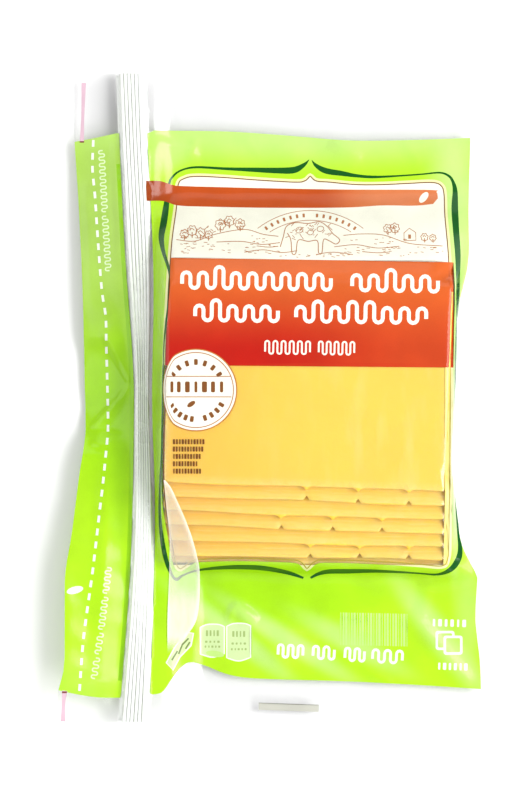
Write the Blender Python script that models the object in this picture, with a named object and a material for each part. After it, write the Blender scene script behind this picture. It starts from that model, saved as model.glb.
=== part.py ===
"""Film pack of sliced cheese, lying on its back with the printed side up.

The pack is one closed body. A bulge holds the shingled slices, flat end seals close it above and
below, its right side is a fold, and a tear-off header runs along its left side. A ribbed
press-to-close strip lies in a shallow channel between the header and the bulge.

Frame: +X to the pack's right, +Y to its top edge, +Z up. The origin is on the surface that the
pack rests on, under the middle of its outline. Sizes are in millimetres; the meshes are in metres.
"""

import bmesh
import bpy
import numpy as np

MM = 0.001

# Outline: the pack's length, and the x of each long line at a few stations (y, x).
HALF_LENGTH = 105.5
HEADER_OUTER_EDGE = (
    (-105.5, -69.1), (-95, -68.3), (-86, -66.2), (-60, -66.2), (-44, -64.0), (-26, -61.8),
    (-11, -59.8), (3, -60.1), (32, -60.6), (64, -62.1), (84, -63.4), (105.5, -63.8),
)
HEADER_INNER_EDGE = (
    (-105.5, -48.8), (-97, -48.1), (-53, -44.9), (-1, -43.9), (48, -46.8), (86, -48.8), (105.5, -49.6),
)
POUCH_LEFT_EDGE = (
    (-105.5, -39.2), (-97, -38.7), (-33, -37.0), (0, -38.0), (32, -37.4), (87, -39.7), (105.5, -40.4),
)
POUCH_RIGHT_EDGE = (
    (-105.5, 69.1), (-95, 69.1), (-84, 68.6), (-72, 67.3), (-64, 67.5), (-57, 67.9), (-52.5, 65.6),
    (-46, 62.5), (-38, 61.3), (-28, 60), (-20, 59.1), (-8, 59.7), (4, 60.3), (16, 60.7), (28, 61),
    (36, 62.9), (44, 64.6), (60, 64.9), (85, 65.7), (105.5, 66.3),
)

# The stack of slices: each slice slides a little further down the pack than the one above it.
SLICE = 91.0
SLICE_THICKNESS = 2.53
SLICE_COUNT = 10
STACK_RIGHT = 56.5
STACK_MIDDLE = 11.4
STACK_TOE = -54.6
LOWEST_VISIBLE_EDGE = -51.9
VISIBLE_EDGES = 6
EDGE_PITCH = 4.65
STACK_SLOPE = -0.03
FILM_OVER_STACK = 0.3
HIGHEST_EDGE_TO_UPPER_END = 12.0

# How far below and above an edge the film's step reaches, and the run up to the stack's toe.
STEP_BELOW = 0.9
STEP_ABOVE = 0.5
TOE_RUN = 5.0

# Where the bottom film starts to lift off the surface and where it has reached each seal.
TOP_SEAL_LIFT = (66.0, 84.0)
FOOT_SEAL_LIFT = (-58.0, -66.0)

# Where the cross-section takes up the slices' slope and where it lets go of it.
SLOPE_TAKEN_UP = (-75.0, -58.0)
SLOPE_LET_GO = (-24.0, -8.0)
SLOPE_ACROSS = (-40.0, -32.0)

# Heights of the sheet's middle above the resting surface, at stations (y, z).
HEADER_OUTER_HEIGHT = (
    (-105.5, 12.0), (-85, 13.5), (-55, 12.5), (-30, 9.0), (-13, 6.5), (-10.6, 3.6), (4, 2.6),
    (17, 4.2), (19.5, 6.0), (35, 6.0), (60, 5.0), (84, 3.8), (105.5, 3.2),
)
STRIP_HEIGHT = (
    (-105.5, 7.5), (-85, 8.0), (-55, 9.0), (-30, 10.0), (-10.6, 9.5), (4, 7.6), (17, 9.0),
    (35, 9.5), (60, 8.0), (84, 5.5), (105.5, 4.6),
)
FOLD_HEIGHT = (
    (-105.5, 3.4), (-85, 3.0), (-60, 4.5), (-50, 8.0), (-30, 11.0), (0, 12.6), (37, 12.6), (55, 8.0),
    (72, 3.6), (85, 2.6), (105.5, 2.8),
)
END_HEIGHT = (
    (-105.5, 3.2), (-85, 2.6), (-66, 2.4), (-60, 3.0), (84, 3.2), (95, 3.0), (105.5, 3.4),
)

# How far the left shoulder reaches towards the middle, from its foot to its far side (y, x).
SHOULDER_START = ((-105.5, -33.0), (-56, -33.4), (-27, -37.0), (105.5, -38.5))
SHOULDER_END = ((-105.5, -20.0), (-56, -22.0), (-27, -31.5), (105.5, -31.0))

# Sheet thickness at the flat parts, and the strip that lies in its channel.
SHEET = 1.0
RIM_HEIGHT = 1.6
RIM_WIDTH = 0.5
WALL_RUN = 0.3
GAP = 0.3
RIB_COUNT = 6
RIB_HEIGHT = 0.7
STRIP_BASE = 0.7
TURN_OF_FOLD = 6.0
FOLD_SHARPNESS = 2.4

# Cross-sections: rows over the creases between the steps and the upper seal, and shares across.
CREASE_ROWS = (-23.0, -18.0, -13.0, -10.6, -3.0, 4.0, 11.0, 17.0, 19.5, 25.0, 31.0)
TOE_ROWS = (-59.5, -57.0, STACK_TOE)
FOOT_ROWS_END = -62.0
FOOT_ROWS = 9
UPPER_ROWS = 15
HEADER_SHARES = (0.0, 0.12, 0.32, 0.55, 0.78)
FOLD_SHARES = (0.7, 0.45, 0.25, 0.1, 0.0)
SHOULDER_POINTS = 7
MIDDLE_POINTS = 11

# A rib as shares of its pitch: where its flat top starts and ends, and where its side ends.
RIB_TOP_START = 0.25
RIB_TOP_END = 0.6
RIB_FOOT = 0.85

FILM_GREEN = (0.42, 0.84, 0.05, 1.0)
FILM_ROUGHNESS = 0.25
CLEAR_STRIP_GREY = (0.80, 0.84, 0.78, 1.0)
STRIP_ROUGHNESS = 0.3


def curve(points):
    """Return a smooth function of y through the stations, without overshoot."""
    stations, values = np.array(points, dtype=float).T
    steps = np.diff(values) / np.diff(stations)
    slopes = np.zeros(len(values))
    slopes[1:-1] = np.where(steps[1:] * steps[:-1] > 0, (steps[1:] + steps[:-1]) / 2, 0)
    slopes[0], slopes[-1] = steps[0], steps[-1]

    def value(y):
        i = int(np.clip(np.searchsorted(stations, y) - 1, 0, len(steps) - 1))
        span = stations[i + 1] - stations[i]
        t = (y - stations[i]) / span
        start = values[i] * (1 + 2 * t) * (1 - t) ** 2 + slopes[i] * span * t * (1 - t) ** 2
        end = values[i + 1] * t * t * (3 - 2 * t) + slopes[i + 1] * span * t * t * (t - 1)
        return float(start + end)

    return value


def smoothstep(low, high, x):
    """Rise from 0 at low to 1 at high with level ends."""
    t = min(max((x - low) / (high - low), 0.0), 1.0)
    return t * t * (3 - 2 * t)


header_outer = curve(HEADER_OUTER_EDGE)
header_inner = curve(HEADER_INNER_EDGE)
pouch_left = curve(POUCH_LEFT_EDGE)
pouch_right = curve(POUCH_RIGHT_EDGE)
header_outer_height = curve(HEADER_OUTER_HEIGHT)
strip_height = curve(STRIP_HEIGHT)
fold_height = curve(FOLD_HEIGHT)
end_height = curve(END_HEIGHT)
shoulder_start = curve(SHOULDER_START)
shoulder_end = curve(SHOULDER_END)


def edge_rows():
    """The y of each slice's lower edge that shows, from the lowest to the highest."""
    return [LOWEST_VISIBLE_EDGE + EDGE_PITCH * k for k in range(VISIBLE_EDGES)]


def stack_top(y):
    """Height of the film over the middle of the stack: steps below, a slope above."""
    hidden_slices = SLICE_COUNT - VISIBLE_EDGES
    top = hidden_slices * SLICE_THICKNESS * smoothstep(STACK_TOE - TOE_RUN, STACK_TOE + STEP_ABOVE, y)
    for edge in edge_rows():
        top += SLICE_THICKNESS * smoothstep(edge - STEP_BELOW, edge + STEP_ABOVE, y)
    lowest_top_end = STACK_TOE + SLICE
    highest_top_end = edge_rows()[-1] + SLICE + HIGHEST_EDGE_TO_UPPER_END
    return top * (1 - smoothstep(lowest_top_end, highest_top_end, y)) + FILM_OVER_STACK


def middle_top(y):
    """Height of the top film along the middle of the pack."""
    return max(stack_top(y), end_height(y) + SHEET / 2)


def middle_bottom(y):
    """Height of the bottom film: it rests flat under the stack and lifts at the two seals."""
    lift = max(smoothstep(*TOP_SEAL_LIFT, y), smoothstep(*FOOT_SEAL_LIFT, y))
    return lift * (end_height(y) - SHEET / 2)


def sheet_heights(x, y):
    """Bottom and top height of the pack at a point right of the press-to-close strip."""
    left, right = pouch_left(y), pouch_right(y)
    level = strip_height(y)
    over = smoothstep(shoulder_start(y), shoulder_end(y), x)
    under = smoothstep(left, shoulder_end(y), x)
    top = (level + SHEET / 2) * (1 - over) + middle_top(y) * over
    bottom = (level - SHEET / 2) * (1 - under) + middle_bottom(y) * under
    turn = max(x - (STACK_RIGHT - TURN_OF_FOLD), 0.0) / (right - STACK_RIGHT + TURN_OF_FOLD)
    turn = turn ** FOLD_SHARPNESS
    top += turn * (fold_height(y) + SHEET / 2 - top)
    bottom += turn * (fold_height(y) - SHEET / 2 - bottom)
    return min(bottom, top - SHEET), top


def turned(x, y):
    """The y of a point once the stack's part of the cross-section is turned with the slices."""
    along = smoothstep(*SLOPE_TAKEN_UP, y) * (1 - smoothstep(*SLOPE_LET_GO, y))
    across = smoothstep(*SLOPE_ACROSS, x)
    return y + STACK_SLOPE * (x - STACK_MIDDLE) * along * across


def row_stations():
    """The y of every cross-section, closer together where the steps and creases are."""
    rows = [*np.linspace(-HALF_LENGTH, FOOT_ROWS_END, FOOT_ROWS), *TOE_ROWS]
    for edge in edge_rows():
        rows += [edge - STEP_BELOW, edge + STEP_ABOVE]
    return [*rows, *CREASE_ROWS, *np.linspace(STACK_TOE + SLICE, HALF_LENGTH, UPPER_ROWS)]


def header_section(y):
    """Points (x, bottom, top) across the tear-off header."""
    outer, inner = header_outer(y), header_inner(y)
    section = []
    for share in HEADER_SHARES:
        level = header_outer_height(y) + (strip_height(y) - header_outer_height(y)) * share
        section.append((outer + (inner - outer) * share, level - SHEET / 2, level + SHEET / 2))
    return section


def channel_section(y):
    """Points (x, bottom, top) across the channel of the press-to-close strip, with its two rims."""
    inner, left, level = header_inner(y), pouch_left(y), strip_height(y)
    low, floor, rim = level - SHEET / 2, level + SHEET / 2, level + RIM_HEIGHT
    wall = RIM_WIDTH + WALL_RUN
    return [
        (inner - RIM_WIDTH, low, floor), (inner, low, rim), (inner + RIM_WIDTH, low, rim),
        (inner + wall, low, floor), (left - wall, low, floor),
        (left - RIM_WIDTH, low, rim), (left, low, rim), (left + RIM_WIDTH, low, floor),
    ]


def pouch_section(y):
    """Points (x, bottom, top) from the channel over the stack to the fold."""
    right = pouch_right(y)
    start = pouch_left(y) + 2 * RIM_WIDTH
    shoulder = list(np.linspace(start, shoulder_end(y), SHOULDER_POINTS))
    middle = list(np.linspace(shoulder_end(y), STACK_RIGHT - TURN_OF_FOLD, MIDDLE_POINTS))[1:]
    fold = [right - (right - STACK_RIGHT + TURN_OF_FOLD) * share for share in FOLD_SHARES]
    return [(x, *sheet_heights(x, y)) for x in shoulder + middle + fold]


def add_object(name, points, faces, colour, roughness):
    """Make a mesh object from points in millimetres and give it its own material."""
    mesh = bpy.data.meshes.new(name)
    build = bmesh.new()
    corners = [build.verts.new([MM * value for value in point]) for point in points]
    for face in faces:
        build.faces.new([corners[index] for index in face])
    bmesh.ops.triangulate(build, faces=build.faces)
    bmesh.ops.recalc_face_normals(build, faces=build.faces)
    build.to_mesh(mesh)
    build.free()
    material = bpy.data.materials.new(name)
    material.use_nodes = True
    shader = material.node_tree.nodes["Principled BSDF"]
    shader.inputs["Base Color"].default_value = colour
    shader.inputs["Roughness"].default_value = roughness
    shader.inputs["Metallic"].default_value = 0.0
    mesh.materials.append(material)
    mesh.shade_smooth()
    part = bpy.data.objects.new(name, mesh)
    bpy.context.scene.collection.objects.link(part)
    return part


def loft(sections):
    """Points and faces of a closed body through equal loops of points, capped at both ends."""
    size = len(sections[0])
    points = [point for section in sections for point in section]
    faces = []
    for row in range(len(sections) - 1):
        for index in range(size):
            following = (index + 1) % size
            low, high = row * size, (row + 1) * size
            faces.append((low + index, low + following, high + following, high + index))
    faces.append(tuple(range(size)))
    faces.append(tuple(range(len(points) - size, len(points))))
    return points, faces


def pouch():
    """The film body: header, channel, bulge over the stack, seals and fold."""
    sections = []
    for y in row_stations():
        across = header_section(y) + channel_section(y) + pouch_section(y)
        over = [(x, turned(x, y), top) for x, bottom, top in across]
        under = [(x, turned(x, y), bottom) for x, bottom, top in reversed(across)]
        sections.append(over + under)
    return add_object("pouch", *loft(sections), FILM_GREEN, FILM_ROUGHNESS)


def strip_section(y):
    """Loop of points around the press-to-close strip: a flat base with ribs along it."""
    clearance = RIM_WIDTH + WALL_RUN + GAP
    low, high = header_inner(y) + clearance, pouch_left(y) - clearance
    base = strip_height(y) + SHEET / 2 + GAP
    ridge = base + STRIP_BASE + RIB_HEIGHT
    pitch = (high - low) / RIB_COUNT
    loop = [(low, base)]
    for rib in range(RIB_COUNT):
        for share, z in ((0.0, ridge - RIB_HEIGHT), (RIB_TOP_START, ridge), (RIB_TOP_END, ridge)):
            loop.append((low + pitch * (rib + share), z))
        loop.append((low + pitch * (rib + RIB_FOOT), ridge - RIB_HEIGHT))
    loop += [(high, ridge - RIB_HEIGHT), (high, base)]
    return [(x, y, z) for x, z in loop]


def press_strip():
    """The ribbed press-to-close strip in its channel."""
    sections = [strip_section(y) for y in row_stations()]
    return add_object("press_strip", *loft(sections), CLEAR_STRIP_GREY, STRIP_ROUGHNESS)


def main():
    for old in list(bpy.data.objects):
        bpy.data.objects.remove(old, do_unlink=True)
    pouch()
    press_strip()


main()
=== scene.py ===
"""Film pack of sliced cheese: printed film with a clear window, press-to-close strip and slices.

The pack lies on its back. Its outline and heights come from the frame's solids. The film is cut
along every edge of its print and laid over the slices, so each field of colour has its own faces.
Layout tables are in millimetres, with +X to the pack's right and +Y to its top edge.
"""

import math
from functools import lru_cache
from typing import NamedTuple

import bpy
import numpy as np
from bpy.props import FloatProperty, FloatVectorProperty, IntProperty
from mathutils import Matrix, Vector
from mathutils.bvhtree import BVHTree
from mathutils.geometry import delaunay_2d_cdt


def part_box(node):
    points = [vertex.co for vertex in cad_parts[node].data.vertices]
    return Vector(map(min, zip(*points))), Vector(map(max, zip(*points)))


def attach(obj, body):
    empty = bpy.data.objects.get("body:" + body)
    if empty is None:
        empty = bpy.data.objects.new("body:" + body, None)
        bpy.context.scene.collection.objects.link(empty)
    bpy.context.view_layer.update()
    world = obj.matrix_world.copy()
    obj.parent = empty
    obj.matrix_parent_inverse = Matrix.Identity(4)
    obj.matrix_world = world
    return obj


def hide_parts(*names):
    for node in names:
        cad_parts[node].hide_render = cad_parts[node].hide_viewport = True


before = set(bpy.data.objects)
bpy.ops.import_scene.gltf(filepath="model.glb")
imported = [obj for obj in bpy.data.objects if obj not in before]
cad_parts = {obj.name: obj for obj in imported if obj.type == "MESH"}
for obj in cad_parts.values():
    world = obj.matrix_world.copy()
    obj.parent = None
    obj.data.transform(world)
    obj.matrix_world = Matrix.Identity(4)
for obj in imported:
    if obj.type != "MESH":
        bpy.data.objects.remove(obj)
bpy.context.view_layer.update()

bl_info = {
    "name": "Sliced cheese pack",
    "version": (1, 0, 0),
    "blender": (4, 5, 0),
    "location": "3D View > Sidebar > Cheese Pack",
    "description": "Builds a flexible film pack of sliced cheese around its solid frame",
    "category": "Add Mesh",
}

MM = 0.001


# --- Sizes and colours ------------------------------------------------------------------------


def colour(name, text, red, green, blue):
    """A colour setting, as linear red, green and blue."""
    return FloatVectorProperty(
        name=name, description=text, default=(red, green, blue), subtype="COLOR", size=3, min=0.0, max=1.0
    )


def length(name, text, millimetres):
    """A length setting, kept in metres."""
    return FloatProperty(name=name, description=text, default=millimetres * MM, unit="LENGTH", precision=5)


class CheesePackSizes(bpy.types.PropertyGroup):
    """Sizes of the film, the print and the slices."""

    film: length("Film thickness", "Thickness of the front and the back film", 0.09)
    mesh: length("Mesh pitch", "Distance between mesh points on the front film", 1.15)
    slice_side: length("Slice side", "Side of a square slice", 91.0)
    slice_thickness: length("Slice thickness", "Thickness of a slice", 2.5)
    slice_corner: length("Slice corner", "Radius of a slice's corners", 1.6)
    edge_pitch: length("Edge pitch", "How far each slice reaches below the one on top of it", 4.65)
    dash_length: length("Dash length", "Length of a dash of the tear line", 2.2)
    dash_width: length("Dash width", "Width of a dash of the tear line", 0.85)
    dash_pitch: length("Dash pitch", "Distance from dash to dash along the tear line", 4.2)
    ridge_radius: length("Ridge radius", "Radius of a press-to-close ridge", 0.52)
    ridges: IntProperty(name="Ridges", description="Ridges on the press-to-close strip", default=6, min=2)
    slices: IntProperty(name="Slices", description="Slices in the stack", default=10, min=7)


class CheesePackColours(bpy.types.PropertyGroup):
    """Colours of the inks, the cheese and the clear parts."""

    green: colour("Green", "Film's green ink", 0.37, 0.66, 0.008)
    # Painted shade: darker green along the header's inner edge, on the header's waist and beside the strip.
    green_shade: colour("Green shade", "Darker green beside the press-to-close strip", 0.23, 0.50, 0.003)
    deep_green: colour("Deep green", "Frame around the panel", 0.0, 0.075, 0.004)
    olive: colour("Olive", "The panel's thin line over yellow", 0.36, 0.27, 0.02)
    # Painted: a deeper green where no sheen is painted, on the header's waist and below the window.
    vivid_green: colour("Vivid green", "Green where the film lies tight", 0.29, 0.60, 0.0)
    halo: colour("Halo", "Pale line around the panel", 0.74, 0.71, 0.36)
    cream: colour("Cream", "Panel and badge", 0.76, 0.75, 0.64)
    brown: colour("Brown", "Thin lines and small marks", 0.16, 0.055, 0.012)
    banner: colour("Banner", "Narrow band across the panel", 0.44, 0.062, 0.004)
    # Label ink lightened by painted reflection, used at the label's top.
    label_top: colour("Label top", "Label's ink at its upper edge", 0.57, 0.105, 0.015)
    label_low: colour("Label bottom", "Label's ink at its lower edge", 0.42, 0.006, 0.0005)
    # White also paints a glint near the header's edge and a glare along the pack's right edge.
    white: colour("White", "Marks on the green and on the label", 0.74, 0.76, 0.68)
    # Pale green serves pale print marks and, in soft patches, painted sheen on the green film.
    pale_green: colour("Pale green", "Faint marks and loose film on the green", 0.45, 0.68, 0.19)
    # Painted shade with a faint painted sheen: the duller, darker green on the header's upper part.
    dull_green: colour("Dull green", "Green where the header's two films lie apart", 0.32, 0.51, 0.085)
    pink: colour("Pink", "Line along the outer edge", 0.62, 0.42, 0.50)
    grey: colour("Grey", "Register bar on the clear end", 0.46, 0.46, 0.40)
    cheese: colour("Cheese", "Face of a slice", 0.80, 0.53, 0.050)
    # Paler edge of a slice, partly a painted highlight; also used for the pale streaks on the window's right.
    cheese_rim: colour("Cheese rim", "Edge of a slice", 0.76, 0.58, 0.17)
    strip: colour("Strip", "Milky press-to-close strip", 0.78, 0.81, 0.75)
    floor: colour("Floor", "Pale floor", 0.96, 0.96, 0.96)


def sizes():
    return bpy.context.scene.cheese_pack_sizes


def colours():
    return bpy.context.scene.cheese_pack_colours


def shade_of(name, strength=1.0):
    """A colour setting as an array, made stronger or weaker."""
    return np.array(getattr(colours(), name)) * strength


# --- Lines and fields of the print ------------------------------------------------------------


def smooth_line(points, per_span=6):
    """Points of a smooth open curve through the given rows of numbers."""
    rows = np.array(points, dtype=float)
    padded = np.vstack([2 * rows[0] - rows[1], rows, 2 * rows[-1] - rows[-2]])
    out = []
    for a, b, c, d in zip(padded, padded[1:], padded[2:], padded[3:]):
        for t in np.arange(per_span) / per_span:
            bend = 2 * a - 5 * b + 4 * c - d
            twist = 3 * b - a - 3 * c + d
            out.append(b + 0.5 * t * ((c - a) + t * (bend + t * twist)))
    return np.array(out + [rows[-1]])


def sideways(line, closed=False):
    """Unit vectors to the left of a line at each of its points."""
    if closed:
        ahead = np.roll(line, -1, 0) - np.roll(line, 1, 0)
    else:
        ahead = np.gradient(line, axis=0)
    ahead = ahead[:, :2] / np.maximum(np.linalg.norm(ahead[:, :2], axis=1), 1e-9)[:, None]
    return np.column_stack([-ahead[:, 1], ahead[:, 0]])


def stroke(points, width=None, per_span=6):
    """Outline of a painted stroke; a third number at each point is its width there."""
    line = smooth_line(points, per_span)
    half = (line[:, 2] if width is None else np.full(len(line), width)) / 2
    side = sideways(line) * half[:, None]
    return np.vstack([line[:, :2] + side, (line[:, :2] - side)[::-1]])


def ring(line, width):
    """The two outlines of a closed line of even width."""
    side = sideways(line, closed=True) * width / 2
    return [line + side, line - side]


def oval(x, y, radius_x, radius_y=None, turn=0.0, points=40):
    """A closed oval; turn is in degrees."""
    angles = np.linspace(0, 2 * np.pi, points, endpoint=False)
    across = radius_x * np.cos(angles)
    up = (radius_x if radius_y is None else radius_y) * np.sin(angles)
    c, s = math.cos(math.radians(turn)), math.sin(math.radians(turn))
    return np.column_stack([x + c * across - s * up, y + s * across + c * up])


def block(x, y, width, height, corner=0.0, turn=0.0):
    """A closed rectangle with rounded corners about its middle; turn is in degrees."""
    corner = min(corner, width / 2 - 1e-3, height / 2 - 1e-3)
    out = []
    for quarter, (sx, sy) in enumerate(((1, 1), (-1, 1), (-1, -1), (1, -1))):
        middle = np.array([sx * (width / 2 - corner), sy * (height / 2 - corner)])
        for share in (0, 1 / 3, 2 / 3, 1) if corner > 0.01 else (0.5,):
            angle = math.pi / 2 * (quarter + share)
            reach = corner if corner > 0.01 else 0.0
            out.append(middle + reach * np.array([math.cos(angle), math.sin(angle)]))
    c, s = math.cos(math.radians(turn)), math.sin(math.radians(turn))
    return np.array(out) @ np.array([[c, s], [-s, c]]) + np.array([x, y])


def below(loop, limit):
    """The part of a closed loop under a level, closed along that level."""
    out = []
    for here, following in zip(loop, np.roll(loop, -1, 0)):
        if here[1] <= limit:
            out.append(here)
        if (here[1] <= limit) != (following[1] <= limit):
            share = (limit - here[1]) / (following[1] - here[1])
            out.append(here + share * (following - here))
    return np.array(out)


class Field(NamedTuple):
    """One ink and the loops that bound it; a point inside an odd number of loops is inked."""

    ink: str
    loops: list


WIDTHS = (1.0, 0.72, 0.92, 0.56, 1.0, 0.8, 0.64)


def directions(start, end):
    """Start, length, and unit vectors along and across a straight line."""
    start, end = np.array(start, float), np.array(end, float)
    span = np.linalg.norm(end - start)
    ahead = (end - start) / span
    return start, span, ahead, np.array([-ahead[1], ahead[0]])


def letter_row(start, end, height, pitch, weight=0.62):
    """Plain upright blocks of even height and uneven width along a line, in place of lettering."""
    start, span, ahead, up = directions(start, end)
    turn = math.degrees(math.atan2(ahead[1], ahead[0]))
    count = max(int(round(span / pitch)), 1)
    step = span / count
    out = []
    for k in range(count):
        width = step * weight * WIDTHS[(k + count) % len(WIDTHS)]
        middle = start + ahead * step * (k + 0.5) + up * height / 2
        out.append(block(*middle, width, height, min(step * 0.16, width * 0.4), turn))
    return out


def band_word(start, end, height, spacing, weight, tall=()):
    """One winding band with upright runs and round bends, in place of a word of lettering."""
    start, span, ahead, up = directions(start, end)
    count = max(int(round((span - weight) / spacing)), 2)
    radius = (span - weight) / count / 2
    low = weight / 2 + radius
    spots = []
    for k in range(count + 1):
        x = weight / 2 + 2 * radius * k
        rise = height * (1.3 if k in tall or k - 1 in tall else 1.0) - weight / 2 - radius
        run = np.linspace(low, rise, 4) if k % 2 == 0 else np.linspace(rise, low, 4)
        spots += [(x, level) for level in run]
        if k < count:
            turn = np.radians((150, 120, 90, 60, 30))
            level, side = (rise, 1) if k % 2 == 0 else (low, -1)
            spots += [(x + radius + radius * math.cos(a), level + side * radius * math.sin(a)) for a in turn]
    line = np.array([start + ahead * x + up * level for x, level in spots])
    return stroke(line, weight, 1)


# Panel outline from its top point down each side to its bottom point.
PANEL_LEFT = (
    (13.4, 72.2), (11.6, 70.6), (8.2, 70.2), (-3.7, 70.9), (-14.7, 71.7), (-23.7, 72.1), (-27.6, 71.4),
    (-29.6, 69.4), (-30.1, 62.0), (-31.2, 52.5), (-31.8, 44.0), (-32.7, 28.0), (-33.3, 14.0),
    (-33.6, 0.0), (-33.8, -16.0), (-33.8, -27.0), (-33.2, -36.0), (-31.7, -45.5), (-30.5, -52.6),
    (-29.2, -55.5), (-27.6, -54.9), (-25.3, -53.2), (-22.7, -52.5), (-11.3, -52.1), (3.0, -52.4),
    (9.6, -53.0), (12.3, -55.6),
)
PANEL_RIGHT = (
    (13.4, 72.2), (15.4, 70.6), (19.8, 70.2), (28.4, 69.4), (36.9, 69.4), (45.4, 69.8), (53.0, 70.1),
    (56.0, 69.1), (57.0, 66.2), (57.1, 58.7), (57.8, 46.0), (58.2, 30.0), (58.2, 10.0), (58.1, -20.0),
    (58.2, -46.0), (57.8, -52.4), (56.0, -54.6), (49.0, -54.1), (38.0, -53.3), (20.0, -52.6),
    (15.0, -53.1), (12.3, -55.6),
)
# Brush strokes of the frame: x, y and width.
FRAME_STROKES = (
    (
        (13.1, 77.6, 0.15), (11.4, 75.9, 1.2), (8.2, 74.2, 2.1), (2.7, 74.0, 1.9), (-5.8, 74.3, 1.4),
        (-14.3, 74.6, 0.9), (-23.7, 75.1, 0.7), (-28.6, 74.1, 0.6), (-31.4, 72.0, 0.7),
        (-32.6, 69.4, 0.9), (-33.5, 62.0, 1.9), (-34.2, 56.7, 2.2), (-34.9, 52.0, 1.9),
        (-34.2, 47.3, 1.3), (-32.6, 42.5, 1.0), (-31.8, 38.5, 0.9), (-32.2, 31.0, 0.8),
        (-33.2, 23.5, 0.6), (-33.8, 17.0, 0.5), (-34.0, 9.0, 0.4), (-34.3, -6.0, 0.4),
        (-34.6, -18.0, 0.5), (-35.2, -29.0, 0.7), (-35.3, -38.5, 1.0), (-34.4, -47.5, 1.5),
        (-33.0, -54.0, 1.4), (-31.4, -57.9, 0.9), (-30.0, -59.1, 1.1), (-28.5, -58.1, 0.8),
        (-25.7, -56.9, 0.6), (-22.0, -56.0, 0.8), (-15.5, -55.3, 1.3), (-8.8, -55.1, 1.6),
        (-1.4, -55.5, 1.7), (6.1, -57.0, 1.4), (11.2, -58.8, 0.7),
    ),
    (
        (13.9, 77.4, 0.15), (15.4, 75.6, 1.2), (18.6, 73.9, 1.9), (24.1, 73.0, 1.6), (28.4, 72.3, 1.1),
        (33.9, 71.9, 0.9), (41.2, 72.2, 0.6), (49.7, 72.8, 0.5), (55.6, 73.3, 0.6), (58.5, 72.3, 0.8),
        (59.9, 70.4, 1.0), (60.6, 67.2, 1.6), (60.4, 61.5, 2.2), (60.6, 54.4, 2.1), (61.0, 45.9, 1.9),
        (60.9, 37.3, 1.3), (60.6, 28.8, 0.9), (60.2, 20.0, 0.7), (59.9, 5.0, 0.6), (59.9, -15.0, 0.6),
        (60.3, -32.0, 0.6), (61.2, -42.0, 0.9), (62.0, -49.0, 1.5), (61.3, -52.7, 2.0),
        (59.0, -55.8, 1.7), (54.9, -57.5, 0.8), (49.0, -57.2, 0.6), (43.2, -56.8, 0.8),
        (34.4, -56.4, 1.2), (25.7, -56.5, 1.6), (19.4, -56.6, 1.6), (16.1, -57.4, 1.2), (13.5, -58.8, 0.7),
    ),
)
# Green print: slanted and curved ends of the header and of the pouch (x, y).
HEADER_TOP = ((-70.0, 81.6), (-63.4, 83.3), (-57.0, 84.5), (-48.0, 86.4))
HEADER_FOOT = ((-70.0, -94.4), (-68.3, -94.8), (-62.0, -96.3), (-55.0, -97.4), (-47.0, -97.6))
POUCH_TOP = (
    (-41.0, 87.0), (-20.0, 86.9), (-6.0, 86.3), (11.0, 85.0), (27.0, 83.8), (48.0, 84.0), (70.0, 84.9),
)
POUCH_FOOT = (
    (-40.0, -96.4), (-37.7, -96.5), (-34.6, -95.6), (-31.6, -91.4), (-28.6, -87.7), (-25.6, -86.2),
    (-21.0, -87.4), (-13.0, -90.4), (-2.9, -91.7), (23.4, -92.5), (46.0, -93.6), (71.0, -95.2),
)
TEAR_LINE = (
    (-57.3, 82.8), (-57.5, 74.5), (-56.7, 66.0), (-55.9, 54.4), (-55.0, 42.1), (-54.2, 33.5),
    (-53.1, 26.0), (-52.9, 13.8), (-52.6, 1.4), (-52.4, -10.0), (-53.1, -19.5), (-54.0, -28.5),
    (-55.0, -37.0), (-56.9, -53.8), (-58.2, -63.5), (-59.4, -72.1), (-60.4, -80.7), (-61.4, -94.0),
)
# Middle of the badge, the window's edges, the pale rim beside it, and the label's corners.
BADGE = (-23.5, 2.4)
BADGE_RADIUS = 12.9
WINDOW_TOP = 10.4
WINDOW_RIGHT = 56.5
WINDOW_FOOT = -54.3
WINDOW_EDGE_RIGHT = 57.95
LABEL = ((-31.6, 45.0), (59.5, 43.6), (59.2, 9.6), (-33.4, 10.4))
# Gap left where the green's side meets its top and its foot, then widths of lines.
CORNER_GAP = 0.2
THIN_LINE = 0.24
SHAPE_LINE = 0.26
HALO_WIDTH = 0.95
PANEL_LINE_WIDTH = 0.36
# Width and inset of the band of painted shade beside the strip.
HEADER_SHADE_WIDTH = 1.3
HEADER_SHADE_INSET = 0.75
# Where the film turns down beside the badge, and how much narrower the print looks past it.
TURN_DOWN = -30.5
TURN_DOWN_SHARE = 0.42


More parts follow.
